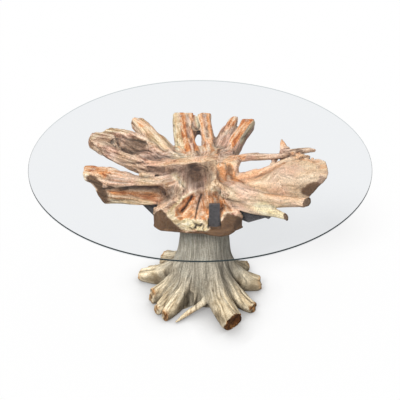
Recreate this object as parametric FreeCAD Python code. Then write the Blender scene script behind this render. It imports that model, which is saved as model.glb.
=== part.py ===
import FreeCAD, Part
import math
import os

# Round glass dining table on a crown of joined root sections and a trunk pedestal.
# Lengths are millimetres, angles are degrees; the origin is on the floor under the middle
# of the glass, x runs to the right and y runs to the back of the table.

# Glass and the soft pads under it
table_height = 762.0
glass_diameter = 1524.0
glass_thickness = 12.0
glass_arris = 1.5
bumper_diameter = 22.0
bumper_height = 4.0
bumper_places = [(-470.0, -92.0), (-299.0, 366.0), (-92.0, 400.0), (22.0, 400.0), (225.0, 350.0), (524.0, -72.0)]

# Crown block: corners in plan, counter-clockwise from the front left
crown_depth = 256.0
hub_corners = [(-160.0, -130.0), (118.0, -130.0), (172.0, -50.0), (176.0, -6.0), (160.0, 50.0),
               (115.0, 100.0), (60.0, 125.0), (-112.0, 125.0), (-165.0, 72.0), (-165.0, -40.0)]
left_wall_y = -76.0
left_shoulder_drop = 50.0
left_shoulder_x = -96.0
right_wall_y = -42.0
right_shoulder_drop = 80.0
right_shoulder_x = 72.0
cave_centre = (-18.0, -128.0)
cave_half_width = 104.0
cave_half_length = 100.0
cave_half_depth = 84.0

# Root sections: each station is x, y, drop of the middle below the crown top, half width, half depth
left_long_stations = [(-120.0, -87.0, 124.0, 43.0, 78.0), (-250.0, -91.0, 120.0, 43.0, 70.0),
                      (-345.0, -93.0, 98.0, 42.0, 84.0), (-430.0, -92.0, 84.0, 41.0, 98.0),
                      (-535.0, -88.0, 78.0, 39.0, 100.0)]
left_long_end = [(-518.0, 0.0), (-508.0, 52.0), (-486.0, 58.0), (-430.0, 170.0)]
left_channel_stations = [(-560.0, -144.0, 94.0, 40.0, 17.0), (-345.0, -142.0, 84.0, 42.0, 22.0),
                         (-230.0, -142.0, 92.0, 46.0, 44.0), (-175.0, -150.0, 100.0, 40.0, 40.0)]
left_hollow_stations = [(-130.0, 18.0, 66.0, 60.0, 54.0), (-250.0, 88.0, 48.0, 92.0, 56.0),
                        (-365.0, 164.0, 40.0, 98.0, 52.0), (-460.0, 206.0, 36.0, 64.0, 44.0),
                        (-524.0, 212.0, 32.0, 26.0, 30.0)]
hollow_centre = (-312.0, 128.0)
hollow_half_length = 116.0
hollow_half_width = 66.0
hollow_half_depth = 64.0
hollow_angle = 149.0
left_spur_stations = [(-112.0, 66.0, 64.0, 38.0, 54.0), (-190.0, 190.0, 42.0, 33.0, 46.0),
                      (-255.0, 298.0, 34.0, 31.0, 44.0), (-325.0, 412.0, 30.0, 30.0, 42.0)]
left_spur_end_y = 390.0
left_spear_stations = [(-130.0, -56.0, 20.0, 16.0, 21.0), (-210.0, -60.0, 15.0, 12.0, 17.0),
                       (-284.0, -68.0, 9.0, 4.0, 8.0)]
back_slotted_stations = [(-20.0, 95.0, 68.0, 96.0, 82.0), (-27.0, 220.0, 54.0, 94.0, 70.0),
                         (-36.0, 330.0, 44.0, 93.0, 60.0), (-40.0, 460.0, 38.0, 92.0, 54.0)]
back_slotted_end_y = 440.0
back_slot_plan = [(-12.0, 132.0), (14.0, 132.0), (0.0, 292.0), (-38.0, 292.0)]
back_groove_drop = 18.0
back_pointed_stations = [(90.0, 70.0, 92.0, 37.0, 58.0), (112.0, 225.0, 54.0, 38.0, 48.0),
                         (141.0, 325.0, 34.0, 33.0, 36.0), (174.0, 408.0, 14.0, 12.0, 15.0)]
back_straight_stations = [(112.0, 36.0, 62.0, 34.0, 68.0), (152.0, 160.0, 44.0, 30.0, 56.0),
                          (197.0, 280.0, 36.0, 29.0, 48.0), (242.0, 398.0, 32.0, 30.0, 44.0)]
back_straight_end_y = 378.0
right_thin_stations = [(130.0, -4.0, 21.0, 20.0, 19.0), (228.0, 40.0, 17.0, 17.0, 16.0),
                       (356.0, 50.0, 16.0, 16.0, 15.0), (440.0, 75.0, 15.0, 14.0, 13.0),
                       (532.0, 99.0, 13.0, 10.0, 9.0)]
right_broad_stations = [(130.0, -40.0, 148.0, 42.0, 62.0), (250.0, -50.0, 144.0, 50.0, 68.0),
                        (335.0, -55.0, 114.0, 62.0, 76.0), (420.0, -60.0, 78.0, 76.0, 88.0),
                        (500.0, -66.0, 66.0, 82.0, 86.0), (600.0, -74.0, 56.0, 78.0, 80.0)]
right_broad_end = [(567.0, 0.0), (561.0, 10.0), (522.0, 60.0), (478.0, 134.0)]
splinter_stations = [(372.0, -24.0, 64.0, 17.0, 28.0), (378.0, 56.0, 58.0, 12.0, 18.0),
                     (381.0, 112.0, 38.0, 9.0, 17.0), (384.0, 178.0, 8.0, 3.0, 6.0)]
right_round_stations = [(104.0, -74.0, 124.0, 62.0, 62.0), (190.0, -128.0, 120.0, 56.0, 54.0),
                        (265.0, -158.0, 114.0, 42.0, 40.0), (350.0, -176.0, 108.0, 30.0, 29.0),
                        (465.0, -191.0, 106.0, 26.0, 25.0)]
right_twig_stations = [(170.0, -128.0, 136.0, 44.0, 36.0), (250.0, -180.0, 142.0, 31.0, 27.0),
                       (311.0, -209.0, 146.0, 20.0, 18.0), (372.0, -236.0, 152.0, 13.0, 12.0)]
limb_underside_drop = 169.0
root_squareness = 2.6
plank_squareness = 4.0
section_points = 12

# Front root section: plan outline, oblique sawn face and sloping shoulders
front_plan = [(-214.0, -150.0), (-178.0, -190.0), (-60.0, -208.0), (60.0, -214.0), (142.0, -200.0), (194.0, -164.0)]
front_saddle_drop = 72.0
front_toe_drop = 244.0
front_left_top_x = -52.0
front_left_end_drop = 166.0
front_right_top_x = 52.0
front_right_end_drop = 196.0

# How far each section may spread sideways: directions of its two bounding planes
sector_angles = {"front": (190.0, 355.0), "right_round": (-32.0, -22.0), "right_broad": (-22.0, 5.0),
                 "right_thin": (5.0, 30.0), "back_straight": (30.0, 73.6), "back_pointed": (73.6, 85.0),
                 "back_slotted": (85.0, 100.0), "left_spur": (100.0, 121.0), "left_hollow": (121.0, 176.0),
                 "left_long": (176.0, 190.0)}

# Trunk: height share and radius at each level, then one row per root foot:
# direction, reach, tip half width, tip half height, height of its root in the trunk
trunk_x = 16.0
trunk_height_shares = [0.0, 0.10, 0.20, 0.34, 0.50, 0.67, 0.85, 1.0]
trunk_radii = [160.0, 157.0, 151.0, 141.0, 128.0, 118.0, 115.0, 119.0]
trunk_lobe_share = 0.035
trunk_lobe_count = 5
foot_rows = [(170.0, 329.0, 30.0, 31.0, 118.0), (152.0, 318.0, 10.0, 10.0, 100.0), (137.0, 276.0, 42.0, 40.0, 134.0),
             (206.0, 285.0, 24.0, 42.0, 142.0), (223.0, 310.0, 22.0, 27.0, 130.0), (234.0, 316.0, 21.0, 28.0, 130.0),
             (246.0, 294.0, 8.0, 10.0, 92.0), (294.0, 340.0, 56.0, 27.0, 146.0), (321.0, 311.0, 30.0, 28.0, 130.0),
             (356.0, 289.0, 32.0, 36.0, 142.0), (32.0, 268.0, 25.0, 22.0, 112.0), (72.0, 284.0, 32.0, 30.0, 130.0),
             (106.0, 290.0, 28.0, 28.0, 130.0)]
foot_start_share = 0.42
foot_root_width = 50.0
foot_root_depth = 92.0
foot_stations = 5
foot_fall_power = 2.0

# Steelwork
plate_diameter = 216.0
plate_thickness = 10.0
bracket_width = 44.0
bracket_steel = 6.0
bracket_web = 10.0
bracket_bottom_lift = 8.0
left_bracket_reach = 112.0
left_bracket_toe = 50.0
right_bracket_reach = 204.0
right_bracket_toe = 92.0
upright_x = 63.0
upright_width = 48.0
upright_steel = 12.0
upright_height = 136.0
upright_y = -185.0

# Fastenings
rod_diameter = 20.0
rod_y = 30.0
rod_bury = 110.0
rod_stand = 8.0
rod_lift = 10.0
washer_diameter = 44.0
washer_thickness = 4.0
nut_across_flats = 30.0
nut_height = 16.0
well_diameter = 56.0
dowel_diameter = 14.0
thin_dowel_diameter = 10.0
dowel_half_length = 34.0
screw_diameter = 5.0
screw_length = 36.0
screw_head_diameter = 10.0
screw_head_height = 3.5
screw_rows = 2
screw_spacing_share = 0.6
plate_screw_count = 4
plate_screw_circle = 160.0
hole_clearance = 0.2
dowel_end_gap = 1.0
cut_overrun = 300.0

# Levels
glass_underside = table_height - glass_thickness
crown_top = glass_underside - bumper_height
crown_bottom = crown_top - crown_depth
trunk_top = crown_bottom - plate_thickness
limb_underside = crown_top - limb_underside_drop
crown_reach = glass_diameter / 2
well_depth = rod_lift + rod_stand + nut_height + washer_thickness
straight_up = FreeCAD.Vector(0, 0, 1)


def heading(angle):
    return FreeCAD.Vector(math.cos(math.radians(angle)), math.sin(math.radians(angle)), 0)


def corner(index):
    x, y = hub_corners[index % len(hub_corners)]
    return FreeCAD.Vector(x, y, 0)


def facet(index):
    # Middle and outward direction of one flat of the crown block
    edge = corner(index + 1) - corner(index)
    outward = edge.cross(straight_up)
    return (corner(index) + corner(index + 1)) / 2, outward.normalize()


def plan_prism(points, low, high):
    outline = [FreeCAD.Vector(x, y, low) for x, y in points]
    face = Part.Face(Part.makePolygon(outline + outline[:1]))
    return face.extrude(straight_up * (high - low))


def front_prism(points):
    # Outline given as x and drop, carried through the table from front to back
    outline = [FreeCAD.Vector(x, -crown_reach, crown_top - drop) for x, drop in points]
    face = Part.Face(Part.makePolygon(outline + outline[:1]))
    return face.extrude(FreeCAD.Vector(0, glass_diameter, 0))


def side_prism(points):
    # Outline given as y and drop, carried through the table from left to right
    outline = [FreeCAD.Vector(-crown_reach, y, crown_top - drop) for y, drop in points]
    face = Part.Face(Part.makePolygon(outline + outline[:1]))
    return face.extrude(FreeCAD.Vector(glass_diameter, 0, 0))


def section(centre, along, half_width, half_depth, squareness):
    # Rounded section square to its direction; the power sets how square its corners are
    side = along.cross(straight_up).normalize()
    rise = side.cross(along).normalize()
    points = []
    for step in range(section_points):
        turn = 2 * math.pi * step / section_points
        across = math.copysign(abs(math.cos(turn)) ** (2 / squareness), math.cos(turn))
        upward = math.copysign(abs(math.sin(turn)) ** (2 / squareness), math.sin(turn))
        points.append(centre + side * (half_width * across) + rise * (half_depth * upward))
    curve = Part.BSplineCurve()
    curve.interpolate(points, PeriodicFlag=True)
    return Part.Wire([curve.toShape()])


def carried(centres, sizes, squareness):
    # Skin through sections that stand square to the path
    wires = []
    last = len(centres) - 1
    for index, centre in enumerate(centres):
        along = centres[min(index + 1, last)] - centres[max(index - 1, 0)]
        wires.append(section(centre, along.normalize(), *sizes[index], squareness))
    return Part.makeLoft(wires, True, False)


def root(stations, squareness=root_squareness):
    centres = [FreeCAD.Vector(x, y, crown_top - drop) for x, y, drop, width, depth in stations]
    sizes = [(width, depth) for x, y, drop, width, depth in stations]
    return carried(centres, sizes, squareness)


def sector(name, index, low):
    # Room for one section: outside its flat of the block, between two planes, below the crown top
    first, second = sector_angles[name]
    middle, outward = facet(index)
    far = [corner(index) + heading(first) * crown_reach, middle + outward * crown_reach,
           corner(index + 1) + heading(second) * crown_reach]
    ring = [corner(index)] + far + [corner(index + 1)]
    return plan_prism([(point.x, point.y) for point in ring], low, crown_top)


def fitted(name, index, shape, low=None):
    return shape.common(sector(name, index, crown_bottom if low is None else low))


def beyond(end_line, side):
    # Waste outside a sawn end drawn as x and drop, to the left or to the right
    first = (end_line[0][0], end_line[0][1] - cut_overrun)
    last = (end_line[-1][0], end_line[-1][1] + cut_overrun)
    far = side * (crown_reach + cut_overrun)
    return front_prism([first] + end_line + [last, (far, last[1]), (far, first[1])])


def behind(y):
    return side_prism([(y, -cut_overrun), (crown_reach, -cut_overrun), (crown_reach, crown_depth), (y, crown_depth)])


def scoop(place, angle, half_length, half_width, half_depth):
    # Egg-shaped hollow centred on the crown top
    ball = Part.makeSphere(half_width)
    stretch = FreeCAD.Matrix()
    stretch.scale(half_length / half_width, 1, half_depth / half_width)
    egg = ball.transformGeometry(stretch)
    egg.rotate(FreeCAD.Vector(0, 0, 0), straight_up, angle)
    egg.translate(FreeCAD.Vector(place[0], place[1], crown_top))
    return egg


def rod_place(level):
    return FreeCAD.Vector(trunk_x, rod_y, level)


# Crown block with its cave, shoulders and blind rod hole
def crown_hub():
    left = front_prism([(left_shoulder_x, left_shoulder_drop), (left_shoulder_x, -cut_overrun),
                        (-crown_reach, -cut_overrun), (-crown_reach, left_shoulder_drop)])
    right = front_prism([(right_shoulder_x, right_shoulder_drop), (right_shoulder_x, -cut_overrun),
                         (crown_reach, -cut_overrun), (crown_reach, right_shoulder_drop)])
    shoulders = [left.cut(behind(left_wall_y)), right.cut(behind(right_wall_y))]
    cave = scoop(cave_centre, 0, cave_half_width, cave_half_length, cave_half_depth)
    hole = Part.makeCylinder(rod_diameter / 2 + hole_clearance, rod_bury + dowel_end_gap, rod_place(crown_bottom))
    return plan_prism(hub_corners, crown_bottom, crown_top).cut(shoulders + [cave, hole])


def left_long_root():
    body = root(left_long_stations).cut(beyond(left_long_end, -1))
    body = body.cut(root(left_channel_stations, 2))
    return fitted("left_long", 9, body, limb_underside)


def left_hollow_root():
    hollow = scoop(hollow_centre, hollow_angle, hollow_half_length, hollow_half_width, hollow_half_depth)
    return fitted("left_hollow", 8, root(left_hollow_stations).cut(hollow))


def left_spur_root():
    return fitted("left_spur", 7, root(left_spur_stations).cut(behind(left_spur_end_y)))


def left_spear_root():
    return fitted("left_long", 9, root(left_spear_stations))


def back_slotted_root():
    body = root(back_slotted_stations, plank_squareness).cut(behind(back_slotted_end_y))
    slot = plan_prism(back_slot_plan, crown_bottom, table_height)
    outer = [back_slot_plan[3], back_slot_plan[2]]
    groove = plan_prism(outer + [(x, crown_reach) for x, y in reversed(outer)], crown_top - back_groove_drop, table_height)
    return fitted("back_slotted", 6, body.cut(slot).cut(groove))


def back_pointed_root():
    return fitted("back_pointed", 5, root(back_pointed_stations))


def back_straight_root():
    return fitted("back_straight", 4, root(back_straight_stations).cut(behind(back_straight_end_y)))


def right_thin_root():
    return fitted("right_thin", 3, root(right_thin_stations))


def right_broad_root():
    body = root(right_broad_stations).cut(beyond(right_broad_end, 1))
    return fitted("right_broad", 2, body).fuse(root(splinter_stations))


def right_forked_root():
    body = root(right_round_stations, 2).fuse(root(right_twig_stations, 2))
    return fitted("right_round", 1, body, limb_underside)


def front_cut_root():
    back_y = corner(0).y
    toe_y = min(y for x, y in front_plan)
    left_x = min(x for x, y in front_plan)
    right_x = max(x for x, y in front_plan)
    outline = plan_prism(front_plan + [corner(1)[:2], corner(0)[:2]], crown_bottom, crown_top)
    side = side_prism([(back_y, front_saddle_drop), (back_y, crown_depth), (toe_y, crown_depth), (toe_y, front_toe_drop)])
    front = front_prism([(front_left_top_x, front_saddle_drop), (left_x, front_left_end_drop), (left_x, crown_depth),
                         (right_x, crown_depth), (right_x, front_right_end_drop), (front_right_top_x, front_saddle_drop)])
    notch_width = upright_width + 2 * hole_clearance
    notch_back = upright_y + upright_steel / 2
    notch = Part.makeBox(notch_width, cut_overrun, crown_depth,
                         FreeCAD.Vector(upright_x - notch_width / 2, notch_back - cut_overrun, crown_bottom))
    beside = sector("right_round", 1, limb_underside)
    return outline.common(side).common(front).cut([notch, beside])


# Trunk with its root feet
def trunk_section(level, radius):
    points = []
    for step in range(2 * section_points):
        turn = math.pi * step / section_points
        lobe = 1 + trunk_lobe_share * math.cos(trunk_lobe_count * turn)
        points.append(FreeCAD.Vector(trunk_x, 0, level) + heading(math.degrees(turn)) * (radius * lobe))
    curve = Part.BSplineCurve()
    curve.interpolate(points, PeriodicFlag=True)
    return Part.Wire([curve.toShape()])


def foot(angle, reach, tip_width, tip_height, rise):
    start = foot_start_share * min(trunk_radii)
    centres = []
    sizes = []
    for step in range(foot_stations):
        share = step / (foot_stations - 1)
        level = tip_height + (rise - tip_height) * (1 - share) ** foot_fall_power
        centres.append(FreeCAD.Vector(trunk_x, 0, level) + heading(angle) * (start + (reach - start) * share))
        sizes.append((foot_root_width + (tip_width - foot_root_width) * share,
                      foot_root_depth + (tip_height - foot_root_depth) * share))
    return carried(centres, sizes, root_squareness)


def trunk_pedestal():
    wires = [trunk_section(trunk_top * share, radius) for share, radius in zip(trunk_height_shares, trunk_radii)]
    body = Part.makeLoft(wires, True, False)
    body = body.multiFuse([foot(*row) for row in foot_rows])
    span = glass_diameter
    below = Part.makeBox(span, span, cut_overrun, FreeCAD.Vector(-span / 2, -span / 2, -cut_overrun))
    hole = Part.makeCylinder(rod_diameter / 2 + hole_clearance, trunk_top, rod_place(0))
    well = Part.makeCylinder(well_diameter / 2, well_depth, rod_place(0))
    return body.cut([below, hole, well])


# Steelwork
def neck_plate():
    plate = Part.makeCylinder(plate_diameter / 2, plate_thickness, FreeCAD.Vector(trunk_x, 0, trunk_top))
    return plate.cut(Part.makeCylinder(rod_diameter / 2 + hole_clearance, plate_thickness, rod_place(trunk_top)))


def placed_on_facet(shape, index):
    # From a flat drawn at x = 0 facing +x to one flat of the crown block
    middle, outward = facet(index)
    moved = shape.copy()
    moved.rotate(FreeCAD.Vector(0, 0, 0), straight_up, math.degrees(math.atan2(outward.y, outward.x)))
    moved.translate(middle)
    return moved


def bracket(index, reach, toe):
    low = crown_bottom + bracket_bottom_lift
    profile = [(0, low), (toe, low), (reach, limb_underside), (0, limb_underside)]
    outline = [FreeCAD.Vector(x, -bracket_web / 2, z) for x, z in profile]
    web = Part.Face(Part.makePolygon(outline + outline[:1])).extrude(FreeCAD.Vector(0, bracket_web, 0))
    back = Part.makeBox(bracket_steel, bracket_width, limb_underside - low, FreeCAD.Vector(0, -bracket_width / 2, low))
    shelf = Part.makeBox(reach, bracket_width, bracket_steel,
                         FreeCAD.Vector(0, -bracket_width / 2, limb_underside - bracket_steel))
    return placed_on_facet(web.fuse(back).fuse(shelf).removeSplitter(), index)


def front_upright():
    return Part.makeBox(upright_width, upright_steel, upright_height,
                        FreeCAD.Vector(upright_x - upright_width / 2, upright_y - upright_steel / 2, crown_bottom))


# Fastenings: a screw runs from the seat under its head along its direction
def screw(seat, along, clearance=0):
    head = Part.makeCone(screw_head_diameter / 2 + clearance, screw_diameter / 2 + clearance,
                         screw_head_height, seat, along)
    shank = Part.makeCylinder(screw_diameter / 2 + clearance, screw_length + clearance, seat, along)
    return head.fuse(shank).removeSplitter()


def plate_screw_set(clearance=0):
    screws = []
    for step in range(plate_screw_count):
        out = heading(360 * (step + 0.5) / plate_screw_count) * (plate_screw_circle / 2)
        screws.append(screw(FreeCAD.Vector(trunk_x, 0, crown_bottom) + out, -straight_up, clearance))
    return screws


def bracket_screw_set(index, reach, clearance=0):
    # Two through the back into the block and two up through the shelf into the root above
    side = screw_spacing_share * bracket_width / 2
    middle_level = (crown_bottom + bracket_bottom_lift + limb_underside) / 2
    screws = []
    for sign in (-1, 1):
        back_seat = FreeCAD.Vector(bracket_steel, sign * side, middle_level)
        shelf_seat = FreeCAD.Vector(reach * screw_spacing_share, sign * side, limb_underside - bracket_steel)
        screws.append(screw(back_seat, FreeCAD.Vector(-1, 0, 0), clearance))
        screws.append(screw(shelf_seat, straight_up, clearance))
    return [placed_on_facet(item, index) for item in screws]


def upright_screw_set(clearance=0):
    front_y = upright_y - upright_steel / 2
    wall = front_toe_level() - crown_bottom
    screws = []
    for row in range(screw_rows):
        level = crown_bottom + wall * (row + 1) / (screw_rows + 1)
        screws.append(screw(FreeCAD.Vector(upright_x, front_y, level), FreeCAD.Vector(0, 1, 0), clearance))
    return screws


def front_toe_level():
    # Height of the oblique sawn face where it meets the back of the upright's notch
    back_y = corner(0).y
    toe_y = min(y for x, y in front_plan)
    share = (upright_y + upright_steel / 2 - back_y) / (toe_y - back_y)
    return crown_top - (front_saddle_drop + (front_toe_drop - front_saddle_drop) * share)


# Dowels: flat of the block, share along it, drop below the crown top
dowel_rows = [(0, 0.25, 190.0), (0, 0.72, 190.0), (1, 0.38, 132.0), (1, 0.68, 132.0), (2, 0.5, 118.0), (2, 0.5, 178.0),
              (4, 0.5, 44.0), (4, 0.5, 84.0), (5, 0.5, 70.0), (5, 0.5, 110.0), (6, 0.22, 90.0), (6, 0.78, 90.0),
              (7, 0.5, 44.0), (7, 0.5, 78.0), (8, 0.42, 88.0), (8, 0.72, 88.0), (9, 0.40, 96.0), (9, 0.40, 146.0)]
thin_dowel_rows = [(3, 0.40, 20.0), (9, 0.18, 19.0)]


def dowel_set(rows, diameter, gap=0, clearance=0):
    pegs = []
    for index, share, drop in rows:
        outward = facet(index)[1]
        place = corner(index) * (1 - share) + corner(index + 1) * share
        place.z = crown_top - drop
        half = dowel_half_length + gap
        pegs.append(Part.makeCylinder(diameter / 2 + clearance, 2 * half, place - outward * half, outward))
    return pegs


def all_dowels(gap=0, clearance=0):
    thick = dowel_set(dowel_rows, dowel_diameter, gap, clearance)
    return thick + dowel_set(thin_dowel_rows, thin_dowel_diameter, gap, clearance)


def center_rod():
    return Part.makeCylinder(rod_diameter / 2, crown_bottom + rod_bury - rod_lift, rod_place(rod_lift))


def rod_washer():
    level = well_depth - washer_thickness
    disc = Part.makeCylinder(washer_diameter / 2, washer_thickness, rod_place(level))
    return disc.cut(Part.makeCylinder(rod_diameter / 2 + hole_clearance, washer_thickness, rod_place(level)))


def rod_nut():
    level = rod_lift + rod_stand
    across_corners = nut_across_flats / math.cos(math.pi / 6)
    ring = [rod_place(level) + heading(60 * step) * (across_corners / 2) for step in range(6)]
    body = Part.Face(Part.makePolygon(ring + ring[:1])).extrude(straight_up * nut_height)
    return body.cut(Part.makeCylinder(rod_diameter / 2 + hole_clearance, nut_height, rod_place(level)))


# Glass and bumpers
def glass_top():
    disc = Part.makeCylinder(glass_diameter / 2, glass_thickness, FreeCAD.Vector(0, 0, glass_underside))
    rims = [edge for edge in disc.Edges if edge.Closed and len(edge.Vertexes) == 1]
    return disc.makeChamfer(glass_arris, rims)


def glass_bumpers():
    return [Part.makeCylinder(bumper_diameter / 2, bumper_height, FreeCAD.Vector(x, y, crown_top))
            for x, y in bumper_places]


def drilled(shape, tools):
    return shape.cut(tools)


def all_parts():
    dowel_holes = all_dowels(dowel_end_gap, hole_clearance)
    left = (9, left_bracket_reach)
    right = (1, right_bracket_reach)
    bracket_holes = bracket_screw_set(*left, hole_clearance) + bracket_screw_set(*right, hole_clearance)
    plate_holes = plate_screw_set(hole_clearance)
    upright_holes = upright_screw_set(hole_clearance)
    crown_holes = dowel_holes + bracket_holes
    parts = {"glass_top": glass_top(), "glass_bumpers": Part.makeCompound(glass_bumpers())}
    sections = [crown_hub, left_long_root, left_hollow_root, left_spur_root, left_spear_root, back_slotted_root,
                back_pointed_root, back_straight_root, right_thin_root, right_broad_root, right_forked_root]
    for make in sections:
        parts[make.__name__] = drilled(make(), crown_holes)
    parts["front_cut_root"] = drilled(front_cut_root(), dowel_holes + upright_holes)
    parts["trunk_pedestal"] = drilled(trunk_pedestal(), plate_holes)
    parts["neck_plate"] = drilled(neck_plate(), plate_holes)
    parts["left_bracket"] = drilled(bracket(9, left_bracket_reach, left_bracket_toe), bracket_holes)
    parts["right_bracket"] = drilled(bracket(1, right_bracket_reach, right_bracket_toe), bracket_holes)
    parts["front_upright"] = drilled(front_upright(), upright_holes)
    parts["plate_screws"] = Part.makeCompound(plate_screw_set())
    parts["bracket_screws"] = Part.makeCompound(bracket_screw_set(*left) + bracket_screw_set(*right))
    parts["upright_screws"] = Part.makeCompound(upright_screw_set())
    parts["limb_dowels"] = Part.makeCompound(all_dowels())
    for make in (center_rod, rod_washer, rod_nut):
        parts[make.__name__] = make()
    return parts


os.makedirs("parts", exist_ok=True)
for name, shape in all_parts().items():
    print(name, "solids", len(shape.Solids), "sound", shape.isValid())
    shape.exportStep("parts/" + name + ".step")
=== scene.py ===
import bpy
import numpy as np
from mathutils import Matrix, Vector


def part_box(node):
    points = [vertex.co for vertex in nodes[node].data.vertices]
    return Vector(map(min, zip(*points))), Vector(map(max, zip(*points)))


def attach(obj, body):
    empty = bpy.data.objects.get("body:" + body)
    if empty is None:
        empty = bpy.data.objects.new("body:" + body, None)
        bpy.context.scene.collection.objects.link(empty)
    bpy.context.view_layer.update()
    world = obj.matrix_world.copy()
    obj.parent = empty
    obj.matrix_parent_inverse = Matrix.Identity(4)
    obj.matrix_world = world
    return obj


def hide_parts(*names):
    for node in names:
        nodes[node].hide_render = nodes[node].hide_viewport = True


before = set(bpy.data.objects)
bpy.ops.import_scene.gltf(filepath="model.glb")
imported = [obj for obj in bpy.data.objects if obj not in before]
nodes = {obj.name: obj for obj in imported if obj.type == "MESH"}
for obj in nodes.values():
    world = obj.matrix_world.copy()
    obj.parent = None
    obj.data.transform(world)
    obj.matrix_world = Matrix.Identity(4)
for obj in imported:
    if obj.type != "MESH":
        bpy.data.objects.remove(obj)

scene = bpy.context.scene
mm = 0.001
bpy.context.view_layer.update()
print("frame loaded:", len(nodes), "solids")


# sRGB hex to linear colour
def linearColor(hexText):
    part = np.array([int(hexText[i:i + 2], 16) for i in (1, 3, 5)]) / 255
    line = np.where(part <= 0.04045, part / 12.92, ((part + 0.055) / 1.055) ** 2.4)
    return (*line.tolist(), 1.0)


# one node with its settings (attributes, input values or ramp stops) and its links: each from a socket,
# from a node's first output, or from the value painted on the skin under a name
def addNode(tree, kind, settings=None, links=None):
    node = tree.nodes.new("ShaderNode" + kind)
    for key, value in (settings or {}).items():
        if key == "stops":
            ramp = node.color_ramp.elements
            while len(ramp) < len(value):
                ramp.new(0.5)
            for spot, (place, color) in zip(ramp, value):
                spot.position = place
                spot.color = linearColor(color)
        elif isinstance(key, str) and hasattr(node, key):
            setattr(node, key, value)
        else:
            node.inputs[key].default_value = value
    for key, source in (links or {}).items():
        if isinstance(source, str):
            source = addNode(tree, "Attribute", {"attribute_name": source}).outputs["Fac"]
        tree.links.new(getattr(source, "outputs", [source])[0], node.inputs[key])
    return node


# empty node material and its tree
def newMaterial(name):
    material = bpy.data.materials.new(name)
    material.use_nodes = True
    material.node_tree.nodes.clear()
    return material, material.node_tree


# rows divided by their lengths
def unit(rows, least=0.0):
    return rows / (np.linalg.norm(rows, axis=-1, keepdims=True) + least)


# one value of every item, as the rows of an array
def readValues(items, key, width, kind=np.float32):
    flat = np.empty(len(items) * width, kind)
    items.foreach_get(key, flat)
    return flat.reshape(-1, width)


# points and triangles of a mesh
def triangles(mesh):
    mesh.calc_loop_triangles()
    return readValues(mesh.vertices, "co", 3), readValues(mesh.loop_triangles, "vertices", 3, np.int32)


# triangles of a CAD node, with its loose corners merged to the micrometre
def cadMesh(name):
    points, tris = triangles(nodes[name].data)
    spots, back = np.unique(np.round(points * 1e6).astype(np.int64), axis=0, return_inverse=True)
    return spots / 1e6, back.reshape(-1)[tris]


# several meshes as one list of points and one of triangles
def joined(meshes):
    starts = np.cumsum([0] + [len(points) for points, tris in meshes])
    return (np.concatenate([points for points, tris in meshes]),
            np.concatenate([tris + start for (points, tris), start in zip(meshes, starts)]))


# curve through the points: each stretch is the cubic whose slopes are half the step between its neighbours
def smoothPath(points, count):
    points = np.asarray(points, float)
    spot = np.linspace(0, len(points) - 1, count)
    at = np.minimum(spot.astype(int), len(points) - 2)
    t = (spot - at)[:, None]
    a, b, c, d = (points[np.clip(at + step, 0, len(points) - 1)] for step in (-1, 0, 1, 2))
    return b + 0.5 * t * (c - a + t * (2 * a - 5 * b + 4 * c - d + t * (3 * (b - c) + d - a)))


# faces of a row of rings: four-sided walls between them, and a fan to a middle point at each end
def ringFaces(rows, around):
    i, j = np.meshgrid(np.arange(rows - 1), np.arange(around), indexing="ij")
    k = (j + 1) % around
    a, b = i * around + j, i * around + k
    walls = np.stack([a, a + around, b + around, b], -1).reshape(-1, 4)
    j, k, last = j[0], k[0], np.full(around, rows * around)
    return walls, np.stack([j, k, last], -1), np.stack([k + last - around, j + last - around, last + 1], -1)


# values listed at even steps, read between them at shares of the way from 0 to 1
def between(values, shares):
    return np.interp(shares, np.linspace(0, 1, len(values)), values)


tubeSteps, tubeSides = 22, 12
tubeRun = np.linspace(0, 1, tubeSteps)


# round tube: a circle of changing radius carried along a smooth path, closed by a point at each end; mm
def tube(points, radii):
    path = smoothPath(np.asarray(points, float) * mm, tubeSteps)
    size = between(radii, tubeRun) * mm
    ahead = unit(np.gradient(path, axis=0))
    side = unit(np.cross(ahead, (0.31, 0.12, 1.0)))
    up = np.cross(side, ahead)
    turn = np.linspace(0, 2 * np.pi, tubeSides, endpoint=False)[None, :, None]
    rings = path[:, None] + size[:, None, None] * (np.cos(turn) * side[:, None] + np.sin(turn) * up[:, None])
    walls, firstCap, lastCap = ringFaces(tubeSteps, tubeSides)
    tris = np.concatenate([walls[:, [0, 2, 3]], walls[:, [0, 1, 2]], firstCap, lastCap])
    return np.concatenate([rings.reshape(-1, 3), path[:1], path[-1:]]), tris


# a tube pressed flat: its points are drawn towards its own middle line along the way it faces
def pressed(path, halves, facing, share):
    points, tris = tube(path, halves)
    facing, start = unit(np.array(facing)), np.array(path[0]) * mm
    away = (points - start) @ facing
    lift = between((np.array(path) * mm - start) @ facing, tubeRun)
    level = np.concatenate([np.repeat(lift, tubeSides), lift[:1], lift[-1:]])
    return points - ((1 - share) * (away - level))[:, None] * facing, tris


# piece with its data, linked into the scene
def newPiece(name, data):
    piece = bpy.data.objects.new(name, data)
    scene.collection.objects.link(piece)
    return piece


# piece made of points and of faces that all have as many corners
def setMesh(name, points, faces):
    mesh = bpy.data.meshes.new(name)
    sides = faces.shape[1]
    mesh.vertices.add(len(points))
    mesh.vertices.foreach_set("co", np.asarray(points, np.float32).ravel())
    mesh.loops.add(faces.size)
    mesh.loops.foreach_set("vertex_index", np.asarray(faces, np.int32).ravel())
    mesh.polygons.add(len(faces))
    mesh.polygons.foreach_set("loop_start", np.arange(0, faces.size, sides, dtype=np.int32))
    mesh.polygons.foreach_set("loop_total", np.full(len(faces), sides, np.int32))
    mesh.update(calc_edges=True)
    mesh.validate()
    return newPiece(name, mesh)


# mesh of a piece after its modifier
def modified(piece):
    return piece.evaluated_get(bpy.context.evaluated_depsgraph_get()).to_mesh()


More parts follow.
